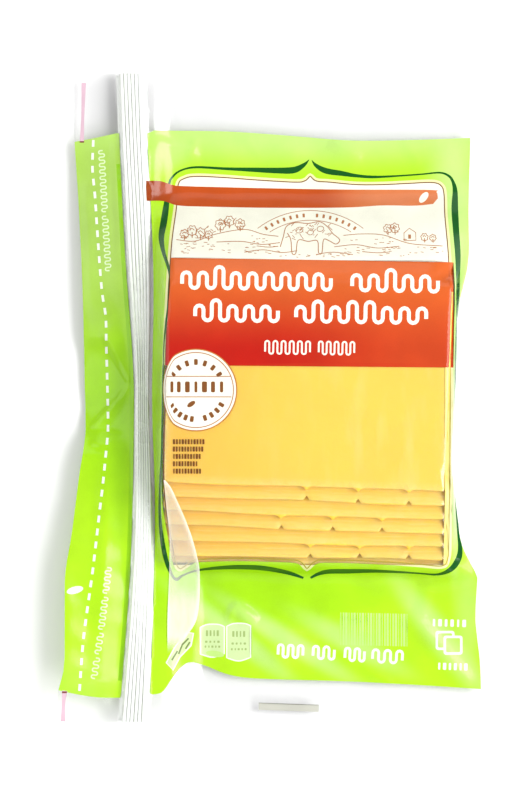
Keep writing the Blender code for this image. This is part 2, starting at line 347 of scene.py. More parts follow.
def green_fields(shape):
    """The two green prints, the tear-off header and the pouch, and a band of painted shade along the header's
    inner edge.
    """
    stations = np.linspace(-100, 92, 97)
    inner = np.column_stack([shape.line("header_inner", stations), stations])
    left = np.column_stack([shape.line("pouch_left", stations), stations])
    fields = []
    for top, foot, near in ((HEADER_TOP, HEADER_FOOT, inner), (POUCH_TOP, POUCH_FOOT, left)):
        top, foot = smooth_line(top), smooth_line(foot)
        low, high = np.interp(near[:, 0], foot[:, 0], foot[:, 1]), np.interp(near[:, 0], top[:, 0], top[:, 1])
        side = near[(near[:, 1] > low) & (near[:, 1] < high)]
        if near is inner:
            above = top[top[:, 0] < side[-1, 0] - CORNER_GAP]
            under = foot[foot[:, 0] < side[0, 0] - CORNER_GAP]
            loop = np.vstack([above, side[::-1], under[::-1]])
        else:
            above = top[top[:, 0] > side[-1, 0] + CORNER_GAP]
            under = foot[foot[:, 0] > side[0, 0] + CORNER_GAP]
            loop = np.vstack([side, above, under[::-1]])
        fields.append(Field("green", [loop]))
    # A band of painted shade along the header's inner edge, beside the strip.
    middle = inner - (HEADER_SHADE_INSET, 0.0)
    shade = np.column_stack([middle, np.full(len(middle), HEADER_SHADE_WIDTH)])[4:-5:4]
    fields.append(Field("green_shade", [stroke(shade, per_span=2)]))
    return fields


def panel_fields():
    """The panel with its halo, the frame around it, the window and the thin line inside."""
    left, right = smooth_line(PANEL_LEFT), smooth_line(PANEL_RIGHT)
    panel = np.vstack([left, right[1:-1][::-1]])
    halo = panel - sideways(panel, closed=True) * HALO_WIDTH
    return [
        Field("halo", [halo]),
        Field("cream", [np.maximum(panel, (-np.inf, 0.0))]),
        Field("clear", [np.clip(below(halo, WINDOW_TOP), (-np.inf, WINDOW_FOOT), (WINDOW_RIGHT, np.inf))]),
        Field("window_edge", [np.array([
            (WINDOW_RIGHT, WINDOW_FOOT), (WINDOW_EDGE_RIGHT, WINDOW_FOOT),
            (WINDOW_EDGE_RIGHT, WINDOW_TOP), (WINDOW_RIGHT, WINDOW_TOP),
        ])]),
        Field("panel_line", ring(panel, PANEL_LINE_WIDTH)),
        *[Field("deep_green", [stroke(points, per_span=5)]) for points in FRAME_STROKES],
    ]


def banner_fields():
    """The narrow band over the panel, plain, with a rounded right end."""
    top = (
        (-40.0, 70.4), (-35.6, 70.5), (-31.3, 69.3), (-27.0, 68.9), (0.6, 68.2), (24.7, 67.8), (52.0, 67.7),
        (54.6, 66.9), (55.0, 64.9),
    )
    foot = (
        (53.4, 63.0), (47.2, 62.4), (36.9, 62.5), (24.7, 61.8), (0.6, 61.7), (-20.7, 62.1), (-29.6, 62.5),
        (-34.3, 63.9), (-40.0, 63.9),
    )
    loop = np.vstack([smooth_line(top), smooth_line(foot)])
    return [Field("banner", [loop]), Field("banner_end", [oval(50.4, 65.2, 1.1, 2.1, -38, 26)])]


def round_tree(x, y, radius):
    """A round tree drawn with a thin line: a lobed crown, a smaller lobe and a trunk."""
    angles = np.linspace(0, 2 * np.pi, 28, endpoint=False)
    reach = radius * (1 + 0.13 * np.sin(7 * angles + x))
    crown = np.column_stack([x + reach * np.cos(angles), y + 1.1 * reach * np.sin(angles)])
    inner = smooth_line([
        (x - 0.5 * radius, y), (x - 0.1 * radius, y + 0.5 * radius), (x + 0.5 * radius, y + 0.1 * radius),
    ])
    trunk = [(x, y - 0.3 * radius), (x + 0.05, y - 1.6 * radius)]
    return [
        Field("sketch", ring(crown, SHAPE_LINE)),
        Field("sketch", [stroke(inner, THIN_LINE)]),
        Field("sketch", [stroke(trunk, 0.3)]),
    ]


def meadow_fields():
    """A small line drawing across the panel: trees, a barn, ground lines and a grazing animal."""
    fields = []
    for x, y, radius in (
        (-27.4, 52.9, 1.3), (-24.9, 54.0, 1.5), (-22.2, 53.2, 1.5), (-19.6, 52.6, 1.2), (-15.8, 56.0, 1.6),
        (-12.9, 57.2, 1.5), (-9.4, 56.2, 1.5), (38.4, 54.6, 1.3), (40.7, 54.9, 1.4), (50.2, 51.8, 1.1),
        (52.9, 51.6, 1.0),
    ):
        fields += round_tree(x, y, radius)
    for points in (
        ((-30.0, 51.0), (-24.0, 50.5), (-17.0, 52.9), (-8.0, 54.4), (-2.0, 52.8), (3.0, 52.1)),
        ((-17.0, 50.2), (-9.0, 50.4), (-2.5, 49.4), (3.5, 50.0)),
        ((-8.0, 46.8), (-2.0, 47.6), (4.0, 46.7), (9.0, 47.3)),
        ((24.0, 52.4), (30.0, 52.9), (37.0, 52.5), (45.4, 49.7), (56.0, 48.9)),
        ((21.0, 48.6), (28.0, 49.3), (35.0, 48.2), (42.0, 48.8)),
        ((16.0, 46.3), (21.0, 46.8), (27.0, 46.0)),
        ((-4.0, 48.9), (0.0, 48.5), (3.0, 48.8)),
        ((30.0, 47.0), (35.0, 46.6), (39.0, 46.9)),
    ):
        fields.append(Field("sketch", [stroke(points, THIN_LINE)]))
    barn = np.array([(43.6, 50.6), (43.6, 53.2), (45.4, 54.8), (47.4, 53.4), (47.4, 50.8)])
    fields.append(Field("sketch", ring(barn, SHAPE_LINE)))
    fields.append(Field("sketch", [block(45.4, 52.0, 0.9, 1.4)]))
    animal = (
        (3.6, 48.6), (4.6, 52.0), (5.6, 55.4), (8.6, 56.7), (12.6, 56.4), (16.4, 57.0), (19.0, 55.2),
        (20.6, 53.0), (22.8, 51.0), (21.6, 49.5), (19.4, 50.6), (17.6, 51.0), (17.0, 46.6), (15.9, 46.7),
        (15.6, 50.6), (12.6, 50.4), (9.4, 50.8), (8.6, 46.5), (7.4, 46.5), (7.0, 51.0), (5.9, 53.2),
    )
    fields.append(Field("sketch", [stroke(animal, 0.28, per_span=4)]))
    for x, y, radius in ((9.8, 54.2, 1.2), (13.4, 53.4, 1.0), (16.6, 54.6, 1.1)):
        fields.append(Field("sketch", ring(oval(x, y, radius, radius * 0.8, 20, 14), 0.22)))
    return fields + grass_fields() + arch_fields()


def grass_fields():
    """Short thin strokes scattered over the ground, the trees and the animal, always the same."""
    draw = np.random.default_rng(11)
    fields = []
    for left, right, low, high, count, steep in (
        (-29.5, 3.0, 46.4, 50.2, 46, 0.25), (23.0, 56.0, 45.6, 48.6, 40, 0.25),
        (3.0, 24.0, 45.2, 46.6, 16, 0.3), (5.2, 19.4, 51.4, 56.0, 34, 1.6),
        (-29.0, -18.0, 51.6, 54.6, 26, 1.2), (-17.4, -8.0, 54.8, 57.6, 24, 1.2),
        (37.4, 42.0, 53.6, 55.6, 10, 1.2), (-6.0, 2.0, 49.6, 52.4, 9, 0.2), (26.0, 46.0, 49.4, 51.6, 14, 0.2),
    ):
        for _ in range(count):
            x, y, run = draw.uniform(left, right), draw.uniform(low, high), draw.uniform(0.4, 1.3)
            rise = draw.uniform(-steep, steep) * run
            fields.append(Field("sketch", [stroke([(x, y), (x + run, y + rise)], 0.2, 1)]))
    return fields


def arch_fields():
    """Two thin arcs with small blocks between them."""
    middle, low = 13.4, 33.6
    fields = []
    for radius, spread in ((27.2, 39.0), (23.9, 33.5)):
        angles = np.radians(np.linspace(90 + spread, 90 - spread, 19))
        line = np.column_stack([middle + radius * np.cos(angles), low + radius * np.sin(angles)])
        fields.append(Field("sketch", [stroke(line, 0.22, per_span=1)]))
    for k, angle in enumerate(np.linspace(124, 56, 15)):
        if k != 7:
            turn = math.radians(angle)
            x, y = middle + 25.6 * math.cos(turn), low + 25.6 * math.sin(turn)
            fields.append(Field("sketch", [block(x, y, 0.75, 1.3, 0.2, angle - 90)]))
    return fields


def label_fields():
    """The large label with three rows of cream blocks."""
    fields = [Field("label", [np.array(LABEL)])]
    for start, end, height, spacing, weight, tall in (
        ((-28.6, 34.6), (20.4, 33.9), 6.3, 2.7, 1.25, (4,)),
        ((26.0, 33.8), (54.8, 33.3), 6.2, 2.7, 1.25, (4,)),
        ((-24.4, 24.2), (3.4, 23.8), 6.0, 2.7, 1.25, (2,)),
        ((8.0, 23.8), (51.0, 23.2), 6.0, 2.7, 1.25, (2, 6, 8)),
        ((-1.6, 13.8), (13.4, 13.6), 4.7, 1.3, 0.6, ()),
        ((15.6, 13.6), (27.6, 13.4), 4.7, 1.3, 0.6, ()),
    ):
        fields.append(Field("marks", [band_word(start, end, height, spacing, weight, tall)]))
    return fields


def squeezed(loop):
    """The loop with its left end drawn in, where the film turns down over the stack's side."""
    out = loop.copy()
    past = np.minimum(out[:, 0] - TURN_DOWN, 0)
    out[:, 0] -= past * TURN_DOWN_SHARE
    return out


def badge_fields():
    """The round badge: an outer edge, a cream disc with a thin ring, two lines and plain blocks."""
    x, y = BADGE
    fields = [
        Field("badge_edge", [squeezed(oval(x, y, BADGE_RADIUS + 0.35, points=72))]),
        Field("cream", [squeezed(oval(x, y, BADGE_RADIUS, points=72))]),
        Field("sketch", [squeezed(loop) for loop in ring(oval(x, y, BADGE_RADIUS - 0.85, points=72), 0.3)]),
    ]
    reach = 11.4
    for level in (y + 4.4, y - 2.2):
        fields.append(Field("sketch", [squeezed(stroke([(x - reach, level), (x + reach, level)], 0.28))]))
    for loop in letter_row((x - 9.6, y - 0.75), (x + 9.6, y - 0.75), 3.5, 2.7, 0.6):
        fields.append(Field("badge_marks", [squeezed(loop)]))
    for start, end, radius, count in ((146, 34, 9.0, 7), (212, 262, 9.4, 5), (288, 330, 9.4, 4)):
        for angle in np.linspace(start, end, count):
            turn = math.radians(angle)
            spot = (x + radius * math.cos(turn), y + radius * math.sin(turn))
            fields.append(Field("badge_marks", [squeezed(block(*spot, 1.2, 1.9, 0.35, angle - 90))]))
    fields.append(Field("badge_marks", [squeezed(oval(x - 1.5, y - 4.5, 1.5, 0.75, 35, 16))]))
    return fields


def small_print_fields():
    """Five short rows of small dark blocks on the window."""
    fields = []
    for row, width in enumerate((10.4, 10.0, 9.2, 8.2, 9.3)):
        level = -15.0 - 2.36 * row
        for loop in letter_row((-31.0, level), (-31.0 + width, level), 1.6, 0.92, 0.66):
            fields.append(Field("small_marks", [loop]))
    return fields


def lower_green_fields():
    """Marks on the green under the window: two fact panels, a stripe field, blocks and an icon."""
    fields = []
    folded = np.array([
        (-33.4, -86.2), (-30.8, -81.4), (-27.2, -76.4), (-24.6, -76.8), (-25.4, -80.8), (-29.0, -84.4),
        (-31.2, -88.6),
    ])
    fields += [Field("fact_panel", [folded]), Field("white", ring(folded, 0.4))]
    for points in (
        ((-31.6, -85.4), (-29.8, -82.4)), ((-29.4, -83.4), (-28.0, -79.8)), ((-28.4, -80.6), (-26.2, -78.4)),
        ((-27.2, -81.8), (-25.8, -79.6)),
    ):
        fields.append(Field("fact_dark", [stroke(points, 0.55)]))
    for left, right, top, foot in ((-22.4, -14.6, -74.0, -84.0), (-13.8, -6.0, -73.7, -85.2)):
        middle, width = (left + right) / 2, right - left
        arched = [
            (left, top - 0.9), (left + 0.3 * width, top), (right - 0.25 * width, top), (right, top - 0.7),
        ]
        curved = [(right, foot + 0.4), (middle, foot - 0.7), (left, foot + 0.3)]
        loop = np.vstack([smooth_line(arched), smooth_line(curved)])
        fields += [Field("fact_panel", [loop]), Field("white", ring(loop, 0.4))]
        for k, (share, height) in enumerate(((0.62, 1.9), (0.4, 0.7), (0.24, 0.7))):
            level = foot + (top - foot) * share
            reach = width * (0.3, 0.34, 0.36)[k]
            for mark in letter_row((middle - reach, level), (middle + reach, level), height, 1.2, 0.6):
                fields.append(Field("fact_marks", [mark]))
    fields.append(Field("pale_green", [oval(-17.6, -83.6, 3.0, 1.0, -8, 24)]))
    for start, end in (
        ((2.4, -85.0), (11.4, -85.4)), ((13.8, -85.5), (21.6, -85.9)), ((24.2, -86.1), (31.4, -86.5)),
        ((33.2, -86.6), (43.8, -87.2)),
    ):
        fields.append(Field("white", [band_word(start, end, 4.9, 1.8, 0.9)]))
    for k in range(25):
        x = 23.4 + 0.9 * k
        fields.append(Field("pale_green", [block(x, -75.4 - 0.02 * k, 0.26 + 0.22 * ((k * 7) % 3), 10.6)]))
    for start, end, height, pitch in (
        ((52.8, -74.6), (64.6, -74.9), 2.4, 2.0), ((54.6, -88.7), (65.0, -89.0), 2.3, 1.8),
    ):
        fields += [Field("white", [loop]) for loop in letter_row(start, end, height, pitch)]
    for offset in (0.0, 2.6):
        for ink, side, corner in (("white", 6.2, 0.8), ("green", 4.6, 0.4)):
            square = block(57.4 + offset, -79.2 - offset * 0.6, side, side, corner)
            fields.append(Field(ink, [square]))
    return fields


def header_mark_fields():
    """Rows of small white bands along the header, and a white oval near its edge that is a painted glint."""
    fields = []
    for points, breaks in (
        (((-53.5, 81.2), (-52.4, 62.0), (-50.9, 38.2)), (0, 11, 19)),
        (((-50.8, -54.6), (-53.1, -74.0), (-56.1, -94.0)), (0, 5, 11, 15, 19)),
    ):
        line = smooth_line(points, 10)
        for first, last in zip(breaks[:-1], breaks[1:]):
            low, high = line[last], line[first]
            gap = (high - low) * 0.5 / np.linalg.norm(high - low)
            fields.append(Field("header_marks", [band_word(low + gap, high - gap, 2.3, 1.05, 0.45)]))
    # The white oval is a painted glint.
    return fields + [Field("white", [oval(-62.9, -62.4, 2.7, 1.15, 14, 28)])]


def margin_fields():
    """Prints on the clear ends: the pink line at the outer edge and the grey register bar."""
    return [
        Field("pink", [stroke([(-61.0, 83.4, 1.35), (-60.7, 92.0, 1.0), (-60.4, 102.6, 1.5)])]),
        Field("pink", [stroke([(-66.2, -95.0, 1.7), (-66.6, -99.0, 1.1), (-66.8, -105.0, 1.5)])]),
        Field("pink_overprint", [block(-61.0, 83.3, 1.5, 0.5), block(-66.3, -95.5, 1.6, 0.6)]),
        Field("grey", [block(6.4, -101.0, 19.6, 2.3, 0.2, -2.0)]),
        Field("grey_dark", [block(6.4, -99.95, 19.6, 0.25, 0.0, -2.0)]),
    ]


# --- Shape of the pack ------------------------------------------------------------------------


def eased(low, high, value):
    """Rise from 0 at low to 1 at high with level ends."""
    t = np.clip((value - low) / (high - low), 0, 1)
    return t * t * (3 - 2 * t)


def blurred(field, sigma):
    """The field softened over sigma cells."""
    reach = int(3 * sigma) + 1
    kernel = np.exp(-0.5 * (np.arange(-reach, reach + 1) / sigma) ** 2)
    kernel /= kernel.sum()
    for axis in (0, 1):
        pad = [(reach, reach) if a == axis else (0, 0) for a in (0, 1)]
        wide = np.pad(field, pad, mode="edge")
        field = np.apply_along_axis(lambda row: np.convolve(row, kernel, mode="valid"), axis, wide)
    return field


def widened(field, reach):
    """The highest value within reach cells."""
    out = field.copy()
    for axis in (0, 1):
        held = out.copy()
        for shift in range(-reach, reach + 1):
            out = np.maximum(out, np.roll(held, shift, axis))
    return out


def solid_tree(node):
    """A ray-casting tree of a CAD node, in millimetres."""
    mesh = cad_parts[node].data
    points = [tuple(v.co / MM) for v in mesh.vertices]
    return BVHTree.FromPolygons(points, [tuple(p.vertices) for p in mesh.polygons])


RAY_TOP = 60.0
RAY_FOOT = -20.0


def height_at(solid, x, y, start=RAY_TOP, direction=-1):
    """Height where a vertical ray first meets a solid, or None beside it."""
    spot = solid.ray_cast(Vector((x, y, start)), Vector((0, 0, direction)))[0]
    return None if spot is None else spot.z


# Folds in the film: start, end, height, and how far it spreads to the left and right of start-to-end.
HEADER_FOLDS = (
    ((-45.6, 4.0), (-54.4, 22.0), 1.3, 1.2, 5.0),
    ((-45.6, 4.0), (-58.4, -10.4), 1.3, 5.0, 1.2),
    ((-58.0, -14.6), (-51.6, -16.0), 0.9, 2.0, 1.5),
    ((-49.8, 84.0), (-47.6, 40.0), 0.9, 5.0, 2.4),
    ((-52.6, -18.0), (-54.5, -92.0), 0.8, 5.5, 4.4),
    ((-59.5, 70.0), (-57.5, 30.0), 0.5, 3.0, 4.0),
)
UPPER_FOLDS = (
    ((-37.0, 84.0), (-22.0, 78.6), 0.8, 2.6, 5.0),
    ((-24.0, 85.5), (-26.0, 77.0), 0.6, 3.0, 2.0),
    ((-8.0, 85.0), (-2.0, 77.5), 0.5, 4.0, 3.0),
    ((20.0, 84.0), (30.0, 77.5), 0.6, 3.0, 5.0),
    ((44.0, 83.5), (49.0, 76.0), 0.5, 4.0, 3.0),
)
LOWER_FOLDS = (
    ((-11.4, -66.8), (6.5, -90.0), 1.1, 4.0, 7.0),
    ((-11.4, -66.8), (-13.0, -74.0), 0.7, 1.0, 1.8),
    ((-11.4, -66.8), (-3.0, -72.6), 0.8, 1.4, 4.0),
    ((-3.0, -72.6), (16.0, -79.0), 0.7, 2.2, 5.0),
    ((16.0, -70.5), (46.0, -68.0), 0.6, 3.2, 3.0),
    ((46.0, -70.0), (66.0, -94.0), 1.0, 4.0, 5.0),
    ((30.0, -88.0), (40.0, -93.5), 0.6, 3.0, 3.0),
    ((48.0, -60.0), (66.5, -57.5), 0.8, 1.6, 4.0),
    ((52.5, -58.0), (50.0, -72.0), 0.5, 3.0, 3.5),
)
SHOULDER_FOLDS = (
    ((-38.0, 36.0), (-33.2, 24.0), 0.7, 1.0, 2.0),
    ((-38.4, 22.0), (-33.6, 27.0), 0.5, 0.8, 1.4),
    ((-38.2, 12.0), (-34.0, 18.0), 0.6, 1.0, 1.6),
    ((-37.6, 2.0), (-34.8, 12.0), 0.5, 0.8, 1.2),
    ((-37.6, -8.0), (-35.2, -1.0), 0.5, 0.8, 1.2),
    ((18.0, 1.6), (21.0, 3.4), 0.35, 0.6, 1.0),
    ((29.6, 1.4), (30.6, 3.6), 0.4, 0.5, 0.8),
    ((53.6, -22.0), (55.6, -31.0), 0.7, 2.4, 1.0),
)
# The loose fold of film that lies over the window's lower left corner: its left and right lines.
LOOSE_FOLD_LEFT = (
    (-33.8, -26.5), (-33.0, -36.6), (-32.2, -44.7), (-32.3, -52.8), (-32.6, -61.5), (-33.0, -71.8),
    (-33.0, -83.4),
)
LOOSE_FOLD_RIGHT = (
    (-33.4, -26.5), (-31.6, -28.8), (-29.5, -33.3), (-27.0, -39.3), (-24.9, -45.2), (-23.5, -50.6),
    (-22.7, -55.0), (-22.6, -61.5), (-22.8, -67.5), (-23.9, -73.1), (-26.7, -77.5), (-30.1, -83.0),
)
# The direction it faces, how far it lies above the front film, and its mesh's share of the film's pitch.
LOOSE_FOLD_FACING = (0.10, -0.05, 1.0)
LOOSE_FOLD_CLEARANCE = 0.25
LOOSE_FOLD_MESH = 0.5
# Its share of painted glare, white, over the slices, what the window's foot and the green add, and the most
# it reaches.
GLARE_BODY = 0.30
GLARE_AT_FOOT = 0.06
GLARE_ON_GREEN = 0.36
GLARE_MOST = 0.88
# Share of painted glare and spread of its right and left creases.
RIGHT_CREASE = (0.45, 0.8)
LEFT_CREASE = (0.20, 0.7)


class PackShape:
    """Outline lines and the heights of both films, read from the solids and given folds. Millimetres."""

    STEP = 0.6
    SEAM = 0.1
    STRIP_COVER = 0.55
    STRIP_MARGIN = 1.1
    UNDER_STACK = 0.12
    OVER_STACK = 0.25
    LEAST_GAP = 0.35
    SEAL_INSET = 0.38
    SOFT, FINE_SOFT = 1.3, 0.7

    def __init__(self):
        self.pouch, self.strip = solid_tree("pouch"), solid_tree("press_strip")
        low, high = (np.array(corner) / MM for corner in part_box("pouch"))
        self.low, self.high = low, high
        strip_low, strip_high = (np.array(corner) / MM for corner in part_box("press_strip"))
        self.rows = np.linspace(low[1] + 0.02, high[1] - 0.02, 141)
        centre = np.interp(self.rows, self.rows, self.middles(self.strip, strip_low[0], strip_high[0]))
        self.lines = {
            "outer": self.edge(self.pouch, centre, low[0] - 1),
            "right": self.edge(self.pouch, centre + 60, high[0] + 1),
            "header_inner": self.edge(self.strip, centre, low[0]) - self.STRIP_MARGIN,
            "pouch_left": self.edge(self.strip, centre, centre + 12) + self.STRIP_MARGIN,
        }
        self.xs = np.arange(low[0] - 1, high[0] + 1.01, self.STEP)
        self.ys = np.arange(low[1] - 1, high[1] + 1.01, self.STEP)
        self.x_grid, self.y_grid = np.meshgrid(self.xs, self.ys)
        self.make_films(self.heights(RAY_TOP, -1), self.heights(RAY_FOOT, 1))

    def middles(self, solid, left, right):
        """The x of the middle of what lies between left and right, row by row."""
        probes = np.linspace(left, right, 60)
        return [np.mean([x for x in probes if height_at(solid, x, y) is not None]) for y in self.rows]

    def edge(self, solid, inside, outside):
        """The x where the solid ends between inside and outside, row by row."""
        out = []
        starts, ends = (np.broadcast_to(side, self.rows.shape) for side in (inside, outside))
        for y, near, far in zip(self.rows, starts, ends):
            for _ in range(14):
                half = (near + far) / 2
                near, far = (near, half) if height_at(solid, half, y) is None else (half, far)
            out.append(near)
        return np.array(out)

    def line(self, name, y):
        return np.interp(y, self.rows, self.lines[name])

    def heights(self, start, direction):
        """Heights of the solid over the grid, carried on past its outline."""
        field = np.full(self.x_grid.shape, np.nan)
        for row, y in enumerate(self.ys):
            for column, x in enumerate(self.xs):
                level = height_at(self.pouch, x, y, start, direction)
                if level is not None:
                    field[row, column] = level
        known = [row for row in range(len(self.ys)) if np.isfinite(field[row]).sum() > 2]
        for row in range(len(self.ys)):
            near = min(max(row, known[0]), known[-1])
            good = np.isfinite(field[near])
            field[row] = np.interp(self.xs, self.xs[good], field[near][good])
        return field

    def make_films(self, top, bottom):
        """Heights of the front and the back film and of the seam between them."""
        inner = self.line("header_inner", self.ys)[:, None]
        left = self.line("pouch_left", self.ys)[:, None]
        for field in (top, bottom):
            for row in range(len(self.ys)):
                ends = np.array([inner[row, 0] - 1.3, left[row, 0] + 1.3])
                inside = (self.xs > ends[0]) & (self.xs < ends[1])
                field[row, inside] = np.interp(self.xs[inside], ends, np.interp(ends, self.xs, field[row]))
        stack = widened(stack_top(self.x_grid, self.y_grid), 2)
        stack = np.maximum(stack, self.spread_left(stack))
        bottom = np.where(stack > 0, np.minimum(bottom, self.UNDER_STACK), bottom)
        inset = self.SEAL_INSET * (1 - eased(1.2, 4.0, top - bottom))
        top, bottom = top - inset, bottom + inset
        top = np.maximum(top, np.where(stack > 0, stack + self.OVER_STACK, 0))
        top = blurred(top, self.SOFT)
        fade = eased(0, 3, np.minimum(self.ys - self.low[1], self.high[1] - self.ys))[:, None]
        every_fold = HEADER_FOLDS + UPPER_FOLDS + LOWER_FOLDS + SHOULDER_FOLDS
        folds = sum(self.fold(*values) for values in every_fold)
        waves = self.waves() * (1 - eased(16, 22, top))
        top = top + (folds + waves) * fade
        bottom = blurred(bottom, self.SOFT)
        bottom = np.minimum(bottom + waves * 0.6 * eased(1.5, 3, bottom), top - self.LEAST_GAP)
        self.strip_top = np.array([self.strip_height(y) for y in self.ys])
        over_strip = (self.x_grid > inner + 0.7) & (self.x_grid < left - 0.7)
        cover = np.where(over_strip, self.strip_top[:, None] + self.STRIP_COVER, 0)
        self.front = blurred(np.maximum(top, cover), self.FINE_SOFT)
        self.back = blurred(bottom, self.FINE_SOFT)
        self.seam = (blurred(top, self.FINE_SOFT) + self.back) / 2

    def strip_height(self, y):
        """Height of the top of the press-to-close strip at its middle."""
        y = min(max(y, self.rows[0]), self.rows[-1])
        middle = (self.line("header_inner", y) + self.line("pouch_left", y)) / 2
        return height_at(self.strip, middle, y)

    def spread_left(self, stack):
        """The stack's height carried one more cell to its left, where the film falls steeply."""
        return np.where(self.x_grid < 0, np.roll(stack, -1, 1), 0)

    def fold(self, start, end, height, left, right):
        """A crease that rises from nothing at both ends and falls to zero at its two sides."""
        start, end = np.array(start), np.array(end)
        ahead = (end - start) / np.linalg.norm(end - start)
        x, y = self.x_grid - start[0], self.y_grid - start[1]
        along = (x * ahead[0] + y * ahead[1]) / np.linalg.norm(end - start)
        aside = -x * ahead[1] + y * ahead[0]
        side = np.where(aside > 0, 1 - aside / left, 1 + aside / right)
        taper = np.sqrt(np.clip(4 * along * (1 - along), 0, 1))
        return height * np.clip(side, 0, 1) ** 1.15 * taper

    def waves(self):
        """Soft unevenness of loose film: a few crossing waves with fixed directions."""
        draw = np.random.default_rng(7)
        total = np.zeros(self.x_grid.shape)
        for _ in range(14):
            turn, wide, phase = draw.uniform(0, np.pi), draw.uniform(9, 26), draw.uniform(0, 2 * np.pi)
            along = self.x_grid * np.cos(turn) + self.y_grid * np.sin(turn)
            total += np.sin(along * 2 * np.pi / wide + phase)
        return 0.055 * total

    def at(self, field, x, y):
        """The field at any points, between its cells."""
        u = np.clip((x - self.xs[0]) / self.STEP, 0, len(self.xs) - 1.001)
        v = np.clip((y - self.ys[0]) / self.STEP, 0, len(self.ys) - 1.001)
        i, j = u.astype(int), v.astype(int)
        u, v = u - i, v - j
        low = field[j, i] * (1 - u) + field[j, i + 1] * u
        high = field[j + 1, i] * (1 - u) + field[j + 1, i + 1] * u
        return low * (1 - v) + high * v

    def outline(self):
        """The pack's outline as a closed loop of points about 1.2 mm apart."""
        stations = np.linspace(self.low[1] + 0.02, self.high[1] - 0.02, 177)
        left = np.column_stack([self.line("outer", stations), stations])
        right = np.column_stack([self.line("right", stations), stations])
        ends = []
        for a, b in ((left[-1], right[-1]), (right[0], left[0])):
            ends.append(a + (b - a) * np.linspace(0, 1, 112)[1:-1, None])
        return np.vstack([left, ends[0], right[::-1], ends[1]])


@lru_cache(maxsize=1)
def pack_shape():
    return PackShape()


# --- Slices -----------------------------------------------------------------------------------

# The stack's middle x, the lowest edge that shows, and how many slices show no edge of their own.
STACK_MIDDLE = 11.4
LOWEST_EDGE = -51.9
HIDDEN_SLICES = 4
# Height of the lowest slice, then gap, bevel and mesh pitch of a slice, and its distance from the right edge.
STACK_FOOT = 0.35
SLICE_GAP = 0.03
SLICE_BEVEL = 0.35
SLICE_MESH = 2.6
SIDE_CLEARANCE = 1.05
# Middles of the tongues on a slice's lower edge, by its number from the top. The next one is notched there.
NOTCH_MIDDLES = {1: (12.0, 28.6, 44.9), 3: (3.9, 20.5, 36.4), 5: (13.3, 29.3, 45.2)}


def slice_place(index):
    """Lower edge's y and turn in degrees of a slice, counted from the bottom of the stack."""
    visible = index - HIDDEN_SLICES
    pitch = sizes().edge_pitch / MM
    if visible >= 0:
        turn = -1.0 - 0.95 * min(visible / 2.0, 1.0)
        edge = LOWEST_EDGE + pitch * visible
    else:
        turn = -0.9
        edge = LOWEST_EDGE - 2.7 - 0.3 * visible
    return edge, turn


def slice_half():
    return sizes().slice_side / MM / 2


def slice_outline(index):
    """A square with rounded corners whose lower edge has small tongues or notches, about its own middle."""
    half, corner = slice_half(), sizes().slice_corner / MM
    count = sizes().slices
    lower = []
    order = count - index
    for first, middles in NOTCH_MIDDLES.items():
        for x in middles:
            x -= STACK_MIDDLE
            if order == first:
                lower += [(x - 1.9, 0.0), (x - 0.9, -0.35), (x, -1.15), (x + 0.9, -0.35), (x + 1.9, 0.0)]
            if order == first + 1:
                lower += [(x - 1.0, 0.0), (x - 0.4, 0.9), (x, 1.4), (x + 0.4, 0.9), (x + 1.0, 0.0)]
    draw = np.random.default_rng(20 + index)
    ripple = draw.uniform(0, 6.28, 3)
    points = []
    for k, angle in enumerate((-90, 0, 90, 180)):
        centre = np.array([(1, 1, -1, -1)[k], (-1, 1, 1, -1)[k]]) * (half - corner)
        for step in range(5):
            a = math.radians(angle + 22.5 * step)
            points.append(centre + corner * np.array([math.cos(a), math.sin(a)]))
        ahead = np.array([(0, -1, 0, 1)[k], (1, 0, -1, 0)[k]])
        if k < 3:
            for s in np.arange(2.0, 2 * (half - corner) - 1, 2.0):
                points.append(centre + corner * np.array([ahead[1], -ahead[0]]) + ahead * s)
    edge_y = -half
    plain = [(x, 0.0) for x in np.arange(-half + corner + 1.5, half - corner - 1, 1.6)]
    plain = [p for p in plain if all(abs(p[0] - q[0]) > 2.2 for q in lower[2::5])]
    for x, rise in sorted(plain + lower):
        points.append(np.array([x, edge_y + rise]))
    outline = np.array(points)
    x, y = outline.T
    outline[:, 1] += sum(0.12 * np.sin(x / (7 + 5 * n) + y / (11 + 3 * n) + ripple[n]) for n in range(3))
    return outline


def placed(points, index):
    """Points of a slice turned and moved to its place in the stack."""
    edge, turn = slice_place(index)
    c, s = math.cos(math.radians(turn)), math.sin(math.radians(turn))
    half = slice_half()
    out = points.copy()
    out[:, 0] = STACK_MIDDLE + c * points[:, 0] - s * (points[:, 1] + half)
    out[:, 1] = edge + s * points[:, 0] + c * (points[:, 1] + half)
    out[:, 0] = np.minimum(out[:, 0], pack_shape().line("right", out[:, 1]) - SIDE_CLEARANCE)
    return out


def slice_levels(index, y):
    """Height of a slice's underside: flat where others carry it, drooping past their upper ends."""
    thickness = sizes().slice_thickness / MM + SLICE_GAP
    side = sizes().slice_side / MM
    level = np.full(np.shape(y), STACK_FOOT)
    for other in range(index):
        end = slice_place(other)[0] + side
        level = level + thickness * (1 - eased(end - 2.5, end + 5.5, y))
    return level


def stack_top(x, y):
    """Height of the top of the stack, zero outside the stack."""
    out = np.zeros(x.shape)
    half = slice_half()
    for index in range(sizes().slices):
        edge, turn = slice_place(index)
        c, s = math.cos(math.radians(turn)), math.sin(math.radians(turn))
        across = c * (x - STACK_MIDDLE) + s * (y - edge)
        up = -s * (x - STACK_MIDDLE) + c * (y - edge)
        inside = (np.abs(across) < half) & (up > -0.2) & (up < 2 * half + 0.2)
        out = np.where(inside, slice_levels(index, y) + sizes().slice_thickness / MM, out)
    return out


# --- Meshes -----------------------------------------------------------------------------------


